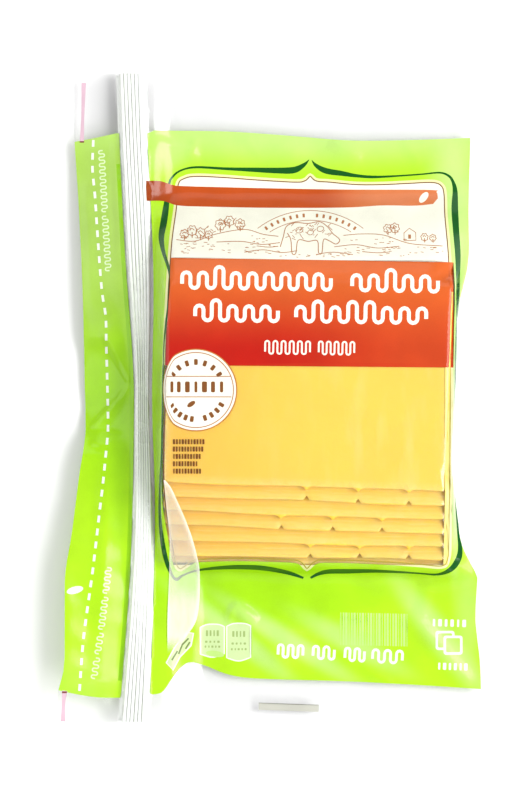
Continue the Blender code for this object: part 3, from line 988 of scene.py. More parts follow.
def inside_loops(points, loops):
    """True where a point is inside an odd number of the loops."""
    odd = np.zeros(len(points), bool)
    for loop in loops:
        low, high = loop.min(0), loop.max(0)
        near = np.nonzero(((points > low) & (points < high)).all(1))[0]
        if len(near):
            a, b = loop, np.roll(loop, -1, 0)
            x, y = points[near, 0][:, None], points[near, 1][:, None]
            spans = (a[:, 1] > y) != (b[:, 1] > y)
            rise = np.where(b[:, 1] == a[:, 1], 1, b[:, 1] - a[:, 1])
            crossing = a[:, 0] + (y - a[:, 1]) * (b[:, 0] - a[:, 0]) / rise
            odd[near] ^= (spans & (x < crossing)).sum(1) % 2 == 1
    return odd


def cut_sheet(outline, loops, pitch):
    """Flat points and triangles that fill the outline and are cut along every loop."""
    low, high = outline.min(0), outline.max(0)
    rows = np.arange(low[1] + pitch / 2, high[1], pitch * 0.87)
    grid = []
    for k, y in enumerate(rows):
        across = np.arange(low[0] + pitch * (0.5 + 0.5 * (k % 2)), high[0], pitch)
        grid.append(np.column_stack([across, np.full(len(across), y)]))
    grid = np.vstack(grid)
    points = [grid[inside_loops(grid, [outline])]]
    edges, start = [], len(points[0])
    for loop in [outline, *loops]:
        index = start + np.arange(len(loop))
        edges += list(zip(index.tolist(), np.roll(index, -1).tolist()))
        points.append(loop)
        start += len(loop)
    points = np.vstack(points)
    made = delaunay_2d_cdt([Vector(p) for p in points], edges, [], 0, 1e-4)
    flat = np.array([tuple(v) for v in made[0]])
    faces = np.array([tuple(f) for f in made[2]])
    middles = flat[faces].mean(1)
    keep = inside_loops(middles, [outline])
    a, b, c = (flat[faces[:, k]] for k in range(3))
    area = (b[:, 0] - a[:, 0]) * (c[:, 1] - a[:, 1]) - (b[:, 1] - a[:, 1]) * (c[:, 0] - a[:, 0])
    faces[area < 0] = faces[area < 0][:, ::-1]
    keep &= np.abs(area) > 1e-7
    return flat, faces[keep], middles[keep]


def paint(middles, fields):
    """The ink under each face's middle: the last field drawn over it."""
    inks = np.full(len(middles), "clear", dtype=object)
    for field in fields:
        inks[inside_loops(middles, field.loops)] = field.ink
    return inks


def thick_sheet(flat, faces, outer, inner, upwards):
    """Points and triangles of a thin closed sheet between two heights over a flat triangulation."""
    used, index = np.unique(faces, return_inverse=True)
    faces = index.reshape(faces.shape)
    count = len(used)
    points = np.vstack([np.column_stack([flat[used], height[used]]) for height in (outer, inner)])
    pairs = np.vstack([faces[:, [0, 1]], faces[:, [1, 2]], faces[:, [2, 0]]])
    known = {(int(a), int(b)) for a, b in pairs}
    border = np.array([(a, b) for a, b in known if (b, a) not in known])
    border = border[np.lexsort((border[:, 1], border[:, 0]))]
    a, b = border[:, 0], border[:, 1]
    rim = np.vstack([np.column_stack([b, a, a + count]), np.column_stack([b, a + count, b + count])])
    out = np.vstack([faces, faces[:, ::-1] + count, rim])
    return points, out if upwards else out[:, ::-1], used


def layer(piece, name, kind, domain, key, values):
    """Stores one value per point or corner of a piece, for its material."""
    made = piece.data.attributes.new(name, kind, domain)
    made.data.foreach_set(key, values.astype(np.float32).ravel())


def mesh_object(name, points, faces, material):
    """A mesh object from points in millimetres, with one material and smooth faces."""
    mesh = bpy.data.meshes.new(name)
    mesh.from_pydata((np.asarray(points) * MM).tolist(), [], np.asarray(faces).tolist())
    mesh.materials.append(material)
    mesh.shade_smooth()
    piece = bpy.data.objects.new(name, mesh)
    bpy.context.scene.collection.objects.link(piece)
    return piece


def slopes_to_normals(shape, field, x, y):
    """Unit normals of a height field at the given points, pointing up."""
    rise_y, rise_x = np.gradient(field, shape.STEP)
    out = np.column_stack([-shape.at(rise_x, x, y), -shape.at(rise_y, x, y), np.ones(len(x))])
    return out / np.linalg.norm(out, axis=1)[:, None]


# The folded right edge: how far the film bends in, how sharply, and where the mesh is cut for it.
FOLD_REACH = 2.0
FOLD_SHARPNESS = 4.0
FOLD_CUTS = (0.25, 0.7, 1.3)
BACK_MESH = 1.6


def film_heights(shape, flat, on_edge):
    """Front and back film heights at flat points, drawn together along the outline."""
    x, y = flat[:, 0], flat[:, 1]
    away = np.clip(shape.line("right", y) - x, 0, FOLD_REACH)
    held = np.where(away < FOLD_REACH, shape.line("right", y) - FOLD_REACH, x)
    turn = (1 - (1 - away / FOLD_REACH) ** FOLD_SHARPNESS) ** (1 / FOLD_SHARPNESS)
    seam = shape.at(shape.seam, held, y)
    front = seam + (shape.at(shape.front, held, y) - seam) * turn
    back = seam + (shape.at(shape.back, held, y) - seam) * turn
    front = np.where(on_edge, seam + shape.SEAM, np.maximum(front, seam + shape.SEAM))
    back = np.where(on_edge, seam - shape.SEAM, np.minimum(back, seam - shape.SEAM))
    return front, back


def near_outline(flat, outline):
    """True for the points that lie on the outline."""
    out = np.zeros(len(flat), bool)
    for a, b in zip(outline, np.roll(outline, -1, 0)):
        span = b - a
        size = np.dot(span, span)
        near = np.nonzero((np.abs(flat - (a + b) / 2) < np.sqrt(size) + 0.1).all(1))[0]
        share = np.clip(((flat[near] - a) @ span) / size, 0, 1)
        away = np.linalg.norm(flat[near] - a - share[:, None] * span, axis=1)
        out[near[away < 1e-3]] = True
    return out


class Sheet(NamedTuple):
    """A film cut to its print: flat points, faces and their inks, outer and inner heights, normals."""

    flat: np.ndarray
    faces: np.ndarray
    inks: np.ndarray
    outer: np.ndarray
    inner: np.ndarray
    normals: np.ndarray


@lru_cache(maxsize=2)
def film(front):
    """The front or the back film, cut along its print."""
    shape = pack_shape()
    fields = green_fields(shape)
    pitch = sizes().mesh / MM
    if front:
        fields += panel_fields() + banner_fields() + meadow_fields() + label_fields() + badge_fields()
        fields += small_print_fields() + lower_green_fields() + header_mark_fields() + margin_fields()
    else:
        pitch *= BACK_MESH
    outline = shape.outline()
    loops = [loop for field in fields for loop in field.loops]
    right = shape.line("right", shape.rows)
    cuts = [np.column_stack([right - inset, shape.rows])[2:-2] for inset in FOLD_CUTS]
    loops += [np.vstack([a, b[::-1]]) for a, b in zip(cuts, cuts[1:])]
    flat, faces, middles = cut_sheet(outline, loops, pitch)
    on_edge = near_outline(flat, outline)
    high, low = film_heights(shape, flat, on_edge)
    thickness = sizes().film / MM
    outer, inner = (high, high - thickness) if front else (low, low + thickness)
    normals = slopes_to_normals(shape, shape.front if front else shape.back, flat[:, 0], flat[:, 1])
    return Sheet(flat, faces, paint(middles, fields), outer, inner, normals if front else -normals)


# Soft patches of painted sheen, glare and shade on the green: ink, middle x and y, reach along and across,
# turn in degrees, amount.
PAINTED_SHEEN_AND_SHADE = (
    ("dull_green", -57.0, 60.0, 46.0, 13.0, 90.0, 0.95),
    ("vivid_green", -54.5, -6.0, 30.0, 9.0, 90.0, 0.95),
    ("green_shade", -47.5, -10.0, 40.0, 4.2, 90.0, 0.85),
    ("vivid_green", -10.0, -63.0, 12.0, 46.0, 90.0, 0.80),
    ("green_shade", -37.0, 6.0, 52.0, 2.0, 90.0, 0.55),
    ("pale_green", -60.0, -90.0, 14.0, 9.0, 10.0, 0.15),
    # Painted glare along the pack's right edge.
    ("white", 60.4, -12.0, 34.0, 1.9, 90.0, 0.85),
    ("pale_green", 15.0, 87.5, 76.0, 10.0, 0.0, 0.92),
    ("pale_green", 60.5, 56.0, 38.0, 8.0, 90.0, 0.95),
    ("pale_green", -33.0, 79.0, 9.0, 5.0, 30.0, 0.60),
    ("pale_green", -12.0, -77.0, 22.0, 3.2, -38.0, 0.90),
    ("pale_green", 6.0, -79.0, 24.0, 3.0, -32.0, 0.85),
    ("pale_green", 27.0, -80.0, 18.0, 3.4, -28.0, 0.75),
    ("pale_green", 56.0, -78.0, 22.0, 4.0, -52.0, 0.85),
    ("pale_green", 65.0, -70.0, 18.0, 4.0, 90.0, 0.40),
)


def green_tones(corners):
    """The green ink with its soft patches of painted sheen, paler, and painted shade, duller and darker."""
    tone = np.broadcast_to(shade_of("green"), corners.shape[:2] + (3,)).copy()
    for ink, x, y, along, aside, turn, amount in PAINTED_SHEEN_AND_SHADE:
        c, s = math.cos(math.radians(turn)), math.sin(math.radians(turn))
        across, up = corners[:, :, 0] - x, corners[:, :, 1] - y
        reach = ((c * across + s * up) / along) ** 2 + ((c * up - s * across) / aside) ** 2
        share = (amount * np.exp(-(reach ** 1.5)))[..., None]
        tone += (shade_of(ink) - tone) * share
    return tone


def ink_colours(inks, corners):
    """Linear colour at each face corner: each ink's colour, and the label's fade down the pack, with painted
    reflection lightening its top.
    """
    mixed = {
        "sketch": shade_of("brown", 1.5) + np.array([0.12, 0.05, 0.02]),
        "marks": shade_of("cream", 1.02),
        "badge_marks": shade_of("brown", 1.15),
        "badge_edge": np.array([0.44, 0.16, 0.03]),
        "small_marks": shade_of("brown", 0.9),
        "fact_marks": np.array([0.30, 0.40, 0.14]),
        "window_edge": np.array([0.74, 0.62, 0.17]),
        "fact_panel": np.array([0.52, 0.66, 0.32]),
        "fact_dark": np.array([0.16, 0.20, 0.07]),
        "header_marks": np.array([0.60, 0.74, 0.42]),
        "pink_overprint": np.array([0.16, 0.03, 0.02]),
        "grey_dark": shade_of("grey", 0.6),
        "banner_end": shade_of("cream"),
    }
    out = np.zeros(corners.shape[:2] + (3,))
    for ink in set(inks) - {"clear"}:
        rows = inks == ink
        if ink == "label":
            # Painted reflection lightens the label's top; the label is also lighter toward its right.
            x, y = corners[rows][:, :, 0], corners[rows][:, :, 1]
            share = eased(43.0, 14.0, y) * (0.62 + 0.38 * eased(48.0, 0.0, x))
            share = np.clip(share, 0, 1)[..., None]
            out[rows] = shade_of("label_top") * (1 - share) + shade_of("label_low") * share
        elif ink == "banner":
            x = corners[rows][:, :, :1]
            # The band is darker toward its left end and paler toward its right.
            tone = shade_of("banner") * (0.62 + 0.38 * eased(-38.0, -27.0, x))
            out[rows] = tone + np.array([0.12, 0.10, 0.05]) * eased(15.0, 35.0, x)
        elif ink == "green":
            out[rows] = green_tones(corners[rows])
        elif ink == "panel_line":
            x, y = corners[rows][:, :, :1], corners[rows][:, :, 1:2]
            share = np.maximum(eased(40.0, 54.0, x) * eased(14.0, 4.0, y), eased(-48.0, -53.0, y))
            out[rows] = shade_of("brown") * (1 - share) + shade_of("olive") * share
        elif ink in mixed:
            out[rows] = np.clip(mixed[ink], 0, 1)
        else:
            out[rows] = shade_of(ink)
    return out


def sheet_piece(name, sheet, rows, material, upwards, inked):
    """A closed thin piece of film from some of a sheet's faces, with its inks and smooth normals."""
    faces = sheet.faces[rows]
    points, triangles, used = thick_sheet(sheet.flat, faces, sheet.outer, sheet.inner, upwards)
    piece = mesh_object(name, points, triangles, material)
    if inked:
        tones = ink_colours(sheet.inks[rows], sheet.flat[faces])
        tones = np.vstack([tones, tones[:, ::-1]])
        rim = len(triangles) - len(tones)
        rim_tone = np.broadcast_to(shade_of("green"), (rim, 3, 3))
        tones = np.vstack([tones, rim_tone])
        tones = tones if upwards else tones[:, ::-1]
        values = np.concatenate([tones.reshape(-1, 3), np.ones((len(triangles) * 3, 1))], axis=1)
        layer(piece, "ink", "FLOAT_COLOR", "CORNER", "color", values)
    normals = sheet.normals[used]
    piece.data.normals_split_custom_set_from_vertices(np.vstack([normals, -normals]).tolist())
    return piece


# --- Materials --------------------------------------------------------------------------------


class Value:
    """A number that varies over a surface; sums and products of it add Math nodes."""

    def __init__(self, look, socket):
        self.look, self.socket = look, socket

    def math(self, operation, first, second):
        return self.look.node("ShaderNodeMath", {"operation": operation}, {0: first, 1: second})

    def __add__(self, other):
        return self.math("ADD", self, other)

    def __mul__(self, other):
        return self.math("MULTIPLY", self, other)

    def __sub__(self, other):
        return self.math("SUBTRACT", self, other)

    def __rsub__(self, other):
        return self.math("SUBTRACT", other, self)

    __radd__, __rmul__ = __add__, __mul__


class Look:
    """A material's node tree with one method that adds any node."""

    def __init__(self, name):
        self.material = bpy.data.materials.new(name)
        self.material.use_nodes = True
        self.nodes = self.material.node_tree.nodes
        self.links = self.material.node_tree.links
        self.nodes.clear()

    def node(self, kind, settings=None, sockets=None, output=0):
        """Adds a node: its settings first, then values or links on its sockets; returns an output."""
        made = self.nodes.new(kind)
        for name, value in (settings or {}).items():
            setattr(made, name, value)
        for name, value in (sockets or {}).items():
            if isinstance(value, Value):
                self.links.new(value.socket, made.inputs[name])
            else:
                made.inputs[name].default_value = value
        return Value(self, made.outputs[output])

    def place(self, scale=(1.0, 1.0, 1.0)):
        """Object coordinates, stretched by a scale along each axis."""
        spot = self.node("ShaderNodeTexCoord", output="Object")
        return self.node("ShaderNodeMapping", {}, {"Vector": spot, "Scale": scale})

    def noise(self, spot, scale, detail=3.0, rough=0.5):
        sockets = {"Vector": spot, "Scale": scale, "Detail": detail, "Roughness": rough}
        return self.node("ShaderNodeTexNoise", {}, sockets)

    def ramp(self, value, low, high, start=0.0, end=1.0):
        """The value moved from low..high to start..end and held there."""
        sockets = {"Value": value, 1: low, 2: high, 3: start, 4: end}
        return self.node("ShaderNodeMapRange", {"clamp": True}, sockets)

    def mix(self, share, first, second, blend="MIX"):
        """Two colours mixed by a share."""
        made = self.nodes.new("ShaderNodeMix")
        made.data_type, made.blend_type = "RGBA", blend
        for index, value in ((0, share), (6, first), (7, second)):
            if isinstance(value, Value):
                self.links.new(value.socket, made.inputs[index])
            else:
                made.inputs[index].default_value = value if index == 0 else (*value, 1.0)
        return Value(self, made.outputs[2])

    def bump(self, height, strength, distance):
        return self.node("ShaderNodeBump", {}, {"Height": height, "Strength": strength, "Distance": distance})

    def principled(self, sockets):
        return self.node("ShaderNodeBsdfPrincipled", {}, sockets)

    def clear(self):
        return self.node("ShaderNodeBsdfTransparent", {}, {"Color": (1.0, 1.0, 1.0, 1.0)})

    def finish(self, surface):
        output = self.nodes.new("ShaderNodeOutputMaterial")
        self.links.new(surface.socket, output.inputs["Surface"])
        return self.material


def printed_film_material():
    """Inks under gloss film: mottled a little, with fine crinkles and uneven gloss."""
    look = Look("printed_film")
    spot = look.place()
    ink = look.node("ShaderNodeAttribute", {"attribute_name": "ink"}, output="Color")
    mottle = look.ramp(look.noise(spot, 90.0, 3.0), 0.3, 0.7, 0.93, 1.05)
    grain = look.ramp(look.noise(spot, 2600.0, 2.0), 0.3, 0.7, 0.975, 1.02)
    shade = look.node("ShaderNodeCombineColor", {}, {0: mottle * grain, 1: mottle * grain, 2: mottle * grain})
    base = look.mix(1.0, ink, shade, "MULTIPLY")
    crinkle = look.noise(look.place((1.0, 0.55, 1.0)), 260.0, 4.0, 0.45) * 0.94
    crinkle = crinkle + look.noise(spot, 900.0, 2.0) * 0.06
    gloss = look.ramp(look.noise(spot, 140.0, 2.0), 0.3, 0.7, 0.17, 0.23)
    normal = look.bump(crinkle, 0.13, 0.0006)
    surface = look.principled({"Base Color": base, "Roughness": gloss, "IOR": 1.42, "Normal": normal})
    return look.finish(surface)


def clear_film_material():
    """Clear gloss film: see-through, with mirror-like gloss, faint haze and fine crinkles."""
    look = Look("clear_film")
    spot = look.place((1.0, 0.5, 1.0))
    crinkle = look.noise(spot, 240.0, 4.0, 0.6)
    normal = look.bump(crinkle, 0.14, 0.0006)
    facing = look.node("ShaderNodeLayerWeight", {}, {"Blend": 0.5}, output="Facing")
    grazing = facing * facing * facing * facing
    haze = look.ramp(look.noise(look.place(), 60.0, 2.0), 0.35, 0.75, 0.030, 0.040)
    clear = look.clear()
    gloss = look.principled(
        {"Base Color": (1.0, 1.0, 1.0, 1.0), "Metallic": 1.0, "Roughness": 0.16, "Normal": normal}
    )
    return look.finish(look.node("ShaderNodeMixShader", {}, {0: grazing * 0.6 + haze, 1: clear, 2: gloss}))


def fold_glare_material():
    """Film folded over on itself, carrying painted glare: white and half see-through, whitest along its
    creases.
    """
    look = Look("loose_fold")
    milk = look.node("ShaderNodeAttribute", {"attribute_name": "milk"}, output="Fac")
    wrinkle = look.noise(look.place((1.0, 0.3, 1.0)), 330.0, 3.0)
    clear = look.clear()
    bump = look.bump(wrinkle, 0.2, 0.0006)
    glare_white = look.principled({"Base Color": (1.0, 0.97, 0.84, 1.0), "Roughness": 0.25, "Normal": bump})
    share = milk * look.ramp(wrinkle, 0.35, 0.65, 0.86, 1.08)
    return look.finish(look.node("ShaderNodeMixShader", {}, {0: share, 1: clear, 2: glare_white}))


def cheese_material():
    """Firm yellow cheese: pale along its cut edges, partly painted highlight, with painted shade to its left,
    orange painted light on its side walls, soft mottling and a slightly oily face.
    """
    look = Look("cheddar")
    spot = look.place()
    rim = look.node("ShaderNodeAttribute", {"attribute_name": "rim"}, output="Fac")
    streak = look.noise(look.place((1.0, 0.25, 1.0)), 190.0, 3.0)
    cloud = look.noise(spot, 45.0, 3.0)
    tone = look.mix(look.ramp(cloud, 0.3, 0.7, 0.0, 0.35), tuple(colours().cheese), (0.75, 0.44, 0.03))
    # Painted shade: the slices turn deeper orange toward the stack's left side, where the film curves down
    # over it.
    across = look.node("ShaderNodeSeparateXYZ", {}, {0: look.node("ShaderNodeTexCoord", output="Object")})
    tone = look.mix(look.ramp(across, -0.034, 0.012, 0.75, 0.0), tone, (0.78, 0.40, 0.035))
    right = look.ramp(across, -0.01, 0.04, 0.25, 1.0)
    tone = look.mix(look.ramp(streak, 0.48, 0.72, 0.0, 0.42) * right, tone, tuple(colours().cheese_rim))
    # Pale cut edges: partly the cheese's paler cut edge, partly a painted highlight where the film bridges
    # each step.
    patchy = look.ramp(look.noise(spot, 320.0, 2.0), 0.3, 0.7, 0.55, 1.0)
    tone = look.mix(rim * patchy * 0.85, tone, tuple(colours().cheese_rim))
    # Painted light: brighter orange on the bevels and side walls, in place of light shining through the
    # cheese.
    tone = look.mix(look.ramp(rim, 0.86, 0.97, 0.0, 0.9), tone, (0.96, 0.52, 0.035))
    pores = look.noise(spot, 700.0, 3.0) * 0.4 + streak * 0.6
    surface = look.principled({
        "Base Color": tone,
        "Roughness": look.ramp(cloud, 0.3, 0.7, 0.42, 0.55),
        "Subsurface Weight": 0.4,
        "Subsurface Radius": (0.005, 0.0028, 0.0006),
        "Subsurface Scale": 1.0,
        "Normal": look.bump(pores, 0.25, 0.0004),
    })
    return look.finish(surface)


def strip_material():
    """Milky moulded plastic with fine lines along it."""
    look = Look("milky_plastic")
    lines = look.noise(look.place((9.0, 0.05, 1.0)), 220.0, 2.0)
    cloud = look.noise(look.place(), 110.0, 3.0)
    tone = look.mix(look.ramp(lines, 0.35, 0.65, 0.0, 1.0), tuple(colours().strip), (0.88, 0.90, 0.88))
    tone = look.mix(look.ramp(cloud, 0.55, 0.8, 0.0, 0.2), tone, (0.60, 0.66, 0.60))
    gloss = look.ramp(cloud, 0.3, 0.7, 0.22, 0.36)
    bump = look.bump(lines, 0.2, 0.0004)
    return look.finish(look.principled({"Base Color": tone, "Roughness": gloss, "Normal": bump}))


def dash_material():
    """White ink of the tear line."""
    look = Look("white_ink")
    speck = look.noise(look.place(), 1500.0, 2.0)
    tone = look.mix(look.ramp(speck, 0.35, 0.75, 0.0, 0.25), (0.74, 0.77, 0.68), (0.6, 0.7, 0.45))
    return look.finish(look.principled({"Base Color": tone, "Roughness": 0.3}))


def floor_material():
    """Matt white paper-like floor."""
    look = Look("white_floor")
    tone = look.ramp(look.noise(look.place(), 12.0, 2.0), 0.3, 0.7, 0.99, 1.0)
    shade = look.node("ShaderNodeCombineColor", {}, {0: tone, 1: tone, 2: tone})
    base = look.mix(1.0, tuple(colours().floor), shade, "MULTIPLY")
    return look.finish(look.principled({"Base Color": base, "Roughness": 0.9, "IOR": 1.2}))


# --- Repeated pieces by Geometry Nodes --------------------------------------------------------


class Tree:
    """A Geometry Nodes tree with named inputs."""

    def __init__(self, name, inputs):
        self.group = bpy.data.node_groups.new(name, "GeometryNodeTree")
        self.keys = {}
        face = self.group.interface
        face.new_socket("Geometry", in_out="INPUT", socket_type="NodeSocketGeometry")
        for label, kind in inputs.items():
            self.keys[label] = face.new_socket(label, in_out="INPUT", socket_type=kind).identifier
        face.new_socket("Geometry", in_out="OUTPUT", socket_type="NodeSocketGeometry")
        self.start = self.group.nodes.new("NodeGroupInput")

    def node(self, kind, settings=None, sockets=None):
        """Adds a node; a socket takes a number, a string naming a tree input, or (node, output)."""
        made = self.group.nodes.new(kind)
        for name, value in (settings or {}).items():
            setattr(made, name, value)
        for name, value in (sockets or {}).items():
            if isinstance(value, str):
                self.group.links.new(self.start.outputs[value], made.inputs[name])
            elif isinstance(value, tuple) and isinstance(value[0], bpy.types.Node):
                self.group.links.new(value[0].outputs[value[1]], made.inputs[name])
            else:
                made.inputs[name].default_value = value
        return made

    def math(self, operation, first, second):
        return self.node("ShaderNodeMath", {"operation": operation}, {0: first, 1: second})

    def finish(self, geometry):
        """Realizes the instances, sets the material and connects the output."""
        real = self.node("GeometryNodeRealizeInstances", {}, {"Geometry": geometry})
        dressed = self.node("GeometryNodeSetMaterial", {}, {"Geometry": (real, 0), "Material": "Material"})
        end = self.group.nodes.new("NodeGroupOutput")
        self.group.links.new(dressed.outputs[0], end.inputs[0])
        return self

    def grow(self, name, seed, values, material):
        """Runs the tree on a seed object and returns the result as a plain mesh object."""
        modifier = seed.modifiers.new("grow", "NODES")
        modifier.node_group = self.group
        for label, value in {**values, "Material": material}.items():
            modifier[self.keys[label]] = value
        bpy.context.view_layer.update()
        ready = seed.evaluated_get(bpy.context.evaluated_depsgraph_get())
        mesh = bpy.data.meshes.new_from_object(ready)
        mesh.name = name
        if material.name not in [m.name for m in mesh.materials if m]:
            mesh.materials.clear()
            mesh.materials.append(material)
        seed.modifiers.remove(modifier)
        bpy.data.objects.remove(seed, do_unlink=True)
        piece = bpy.data.objects.new(name, mesh)
        bpy.context.scene.collection.objects.link(piece)
        return piece


def path_object(name, points):
    """A chain of edges through points in millimetres, as a seed for a tree."""
    mesh = bpy.data.meshes.new(name)
    chain = [(k, k + 1) for k in range(len(points) - 1)]
    mesh.from_pydata((np.asarray(points) * MM).tolist(), chain, [])
    path = bpy.data.objects.new(name, mesh)
    bpy.context.scene.collection.objects.link(path)
    return path


def dash_tree():
    """Flat dashes at an even pitch along a level path, dropped onto the film under them."""
    tree = Tree(
        "tear_dashes",
        {
            "Pitch": "NodeSocketFloat", "Length": "NodeSocketFloat", "Width": "NodeSocketFloat",
            "Thickness": "NodeSocketFloat", "Lift": "NodeSocketFloat", "Film": "NodeSocketObject",
            "Material": "NodeSocketMaterial",
        },
    )
    path = tree.node("GeometryNodeMeshToCurve", {}, {"Mesh": "Geometry"})
    spots = tree.node(
        "GeometryNodeCurveToPoints", {"mode": "LENGTH"}, {"Curve": (path, 0), "Length": "Pitch"}
    )
    size = tree.node("ShaderNodeCombineXYZ", {}, {"X": "Length", "Y": "Width", "Z": "Thickness"})
    dash = tree.node(
        "GeometryNodeMeshCube", {}, {"Size": (size, 0), "Vertices X": 5, "Vertices Y": 3, "Vertices Z": 2}
    )
    ahead = tree.node("FunctionNodeAlignRotationToVector", {"axis": "X"}, {"Vector": (spots, "Tangent")})
    placed_dashes = tree.node(
        "GeometryNodeInstanceOnPoints",
        {},
        {"Points": (spots, 0), "Instance": (dash, 0), "Rotation": (ahead, 0)},
    )
    real = tree.node("GeometryNodeRealizeInstances", {}, {"Geometry": (placed_dashes, 0)})
    target = tree.node("GeometryNodeObjectInfo", {}, {"Object": "Film"})
    down = tree.node(
        "GeometryNodeRaycast",
        {},
        {"Target Geometry": (target, "Geometry"), "Ray Direction": (0.0, 0.0, -1.0)},
    )
    hit = tree.node("ShaderNodeSeparateXYZ", {}, {0: (down, "Hit Position")})
    here = tree.node("GeometryNodeInputPosition")
    split = tree.node("ShaderNodeSeparateXYZ", {}, {0: (here, 0)})
    above = tree.math("SUBTRACT", (split, 2), "Lift")
    level = tree.math("ADD", (hit, 2), (above, 0))
    spot = tree.node("ShaderNodeCombineXYZ", {}, {"X": (split, 0), "Y": (split, 1), "Z": (level, 0)})
    dropped = tree.node("GeometryNodeSetPosition", {}, {"Geometry": (real, 0), "Position": (spot, 0)})
    return tree.finish((dropped, 0))


# How far into its own share of the strip each ridge lies.
FIRST_RIDGE = 0.42


def ridge_tree():
    """Round ridges side by side, shared evenly between a path and the line beside it."""
    tree = Tree(
        "press_ridges",
        {"Ridges": "NodeSocketInt", "Radius": "NodeSocketFloat", "Material": "NodeSocketMaterial"},
    )
    path = tree.node("GeometryNodeMeshToCurve", {}, {"Mesh": "Geometry"})
    copies = tree.node(
        "GeometryNodeDuplicateElements", {"domain": "SPLINE"}, {"Geometry": (path, 0), "Amount": "Ridges"}
    )
    across = tree.node("GeometryNodeInputNamedAttribute", {"data_type": "FLOAT_VECTOR"})
    across.inputs["Name"].default_value = "across"
    place = tree.math("ADD", (copies, "Duplicate Index"), FIRST_RIDGE)
    share = tree.math("DIVIDE", (place, 0), "Ridges")
    offset = tree.node("ShaderNodeVectorMath", {"operation": "SCALE"}, {0: (across, 0), "Scale": (share, 0)})
    moved = tree.node("GeometryNodeSetPosition", {}, {"Geometry": (copies, 0), "Offset": (offset, 0)})
    ring_curve = tree.node("GeometryNodeCurvePrimitiveCircle", {}, {"Resolution": 8, "Radius": "Radius"})
    tubes = tree.node(
        "GeometryNodeCurveToMesh",
        {},
        {"Curve": (moved, 0), "Profile Curve": (ring_curve, 0), "Fill Caps": True},
    )
    smooth = tree.node("GeometryNodeSetShadeSmooth", {}, {"Geometry": (tubes, 0)})
    return tree.finish((smooth, 0))


# --- Operators --------------------------------------------------------------------------------


def wear(piece, stands_for=()):
    """Puts a piece on the pack's body and hides the solid parts it stands for."""
    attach(piece, "root")
    if stands_for:
        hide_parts(*stands_for)


class CHEESEPACK_OT_stage(bpy.types.Operator):
    """Add the pale floor, the soft studio lights and the camera straight above the pack"""

    bl_idname = "cheese_pack.stage"
    bl_label = "Stage"

    def execute(self, context):
        self.floor()
        self.lamp("key", (0.66, 0.10, 0.78), 0.60, 8.8)
        self.lamp("key_foot", (0.62, -0.50, 0.62), 0.52, 4.6)
        self.lamp("fill_left", (-0.80, 0.05, 0.62), 0.90, 3.8)
        self.lamp("fill_top", (-0.05, 0.85, 0.70), 0.80, 2.2)
        self.lamp("fill_foot", (-0.05, -0.85, 0.70), 0.80, 0.8)
        world = bpy.data.worlds.new("studio")
        world.use_nodes = True
        world.node_tree.nodes["Background"].inputs["Color"].default_value = (1.0, 1.0, 1.0, 1.0)
        world.node_tree.nodes["Background"].inputs["Strength"].default_value = 0.47
        context.scene.world = world
        context.scene.view_settings.view_transform = "Standard"
        self.camera(context)
        return {"FINISHED"}

    def floor(self):
        half, level = 1500.0, -0.05
        corners = [(-half, -half, level), (half, -half, level), (half, half, level), (-half, half, level)]
        mesh_object("floor", corners, [(0, 1, 2, 3)], floor_material())

    def lamp(self, name, place, side, power):
        data = bpy.data.lights.new(name, "AREA")
        data.shape, data.size, data.energy = "SQUARE", side, power
        lamp = bpy.data.objects.new(name, data)
        lamp.location = place
        lamp.rotation_euler = (-Vector(place)).to_track_quat("-Z", "Y").to_euler()
        lamp.visible_camera = False
        bpy.context.scene.collection.objects.link(lamp)

    def camera(self, context):
        data = bpy.data.cameras.new("overhead")
        data.lens, data.sensor_width = 200.0, 36.0
        view_height, middle_x, middle_y, focus_level = 0.260, -0.001, -0.0008, 0.008
        camera = bpy.data.objects.new("overhead", data)
        distance = view_height * data.lens / data.sensor_width
        camera.location = (middle_x, middle_y, distance + focus_level)
        data.clip_start, data.clip_end = 0.05, 20.0
        context.scene.collection.objects.link(camera)
        context.scene.camera = camera


class CHEESEPACK_OT_printed_film(bpy.types.Operator):
    """Add the printed parts of the front and the back film"""

    bl_idname = "cheese_pack.printed_film"
    bl_label = "Printed film"

    def execute(self, context):
        material = printed_film_material()
        front, back = film(True), film(False)
        piece = sheet_piece("front_film", front, front.inks != "clear", material, True, True)
        wear(piece, ("pouch",))
        wear(sheet_piece("back_film", back, back.inks != "clear", material, False, True))
        return {"FINISHED"}


class CHEESEPACK_OT_clear_film(bpy.types.Operator):
    """Add the clear parts of both films: window, band over the press-to-close strip and both ends"""

    bl_idname = "cheese_pack.clear_film"
    bl_label = "Clear film"

    def execute(self, context):
        material = clear_film_material()
        for name, front in (("front_clear_film", True), ("back_clear_film", False)):
            sheet = film(front)
            wear(sheet_piece(name, sheet, sheet.inks == "clear", material, front, False))
        return {"FINISHED"}


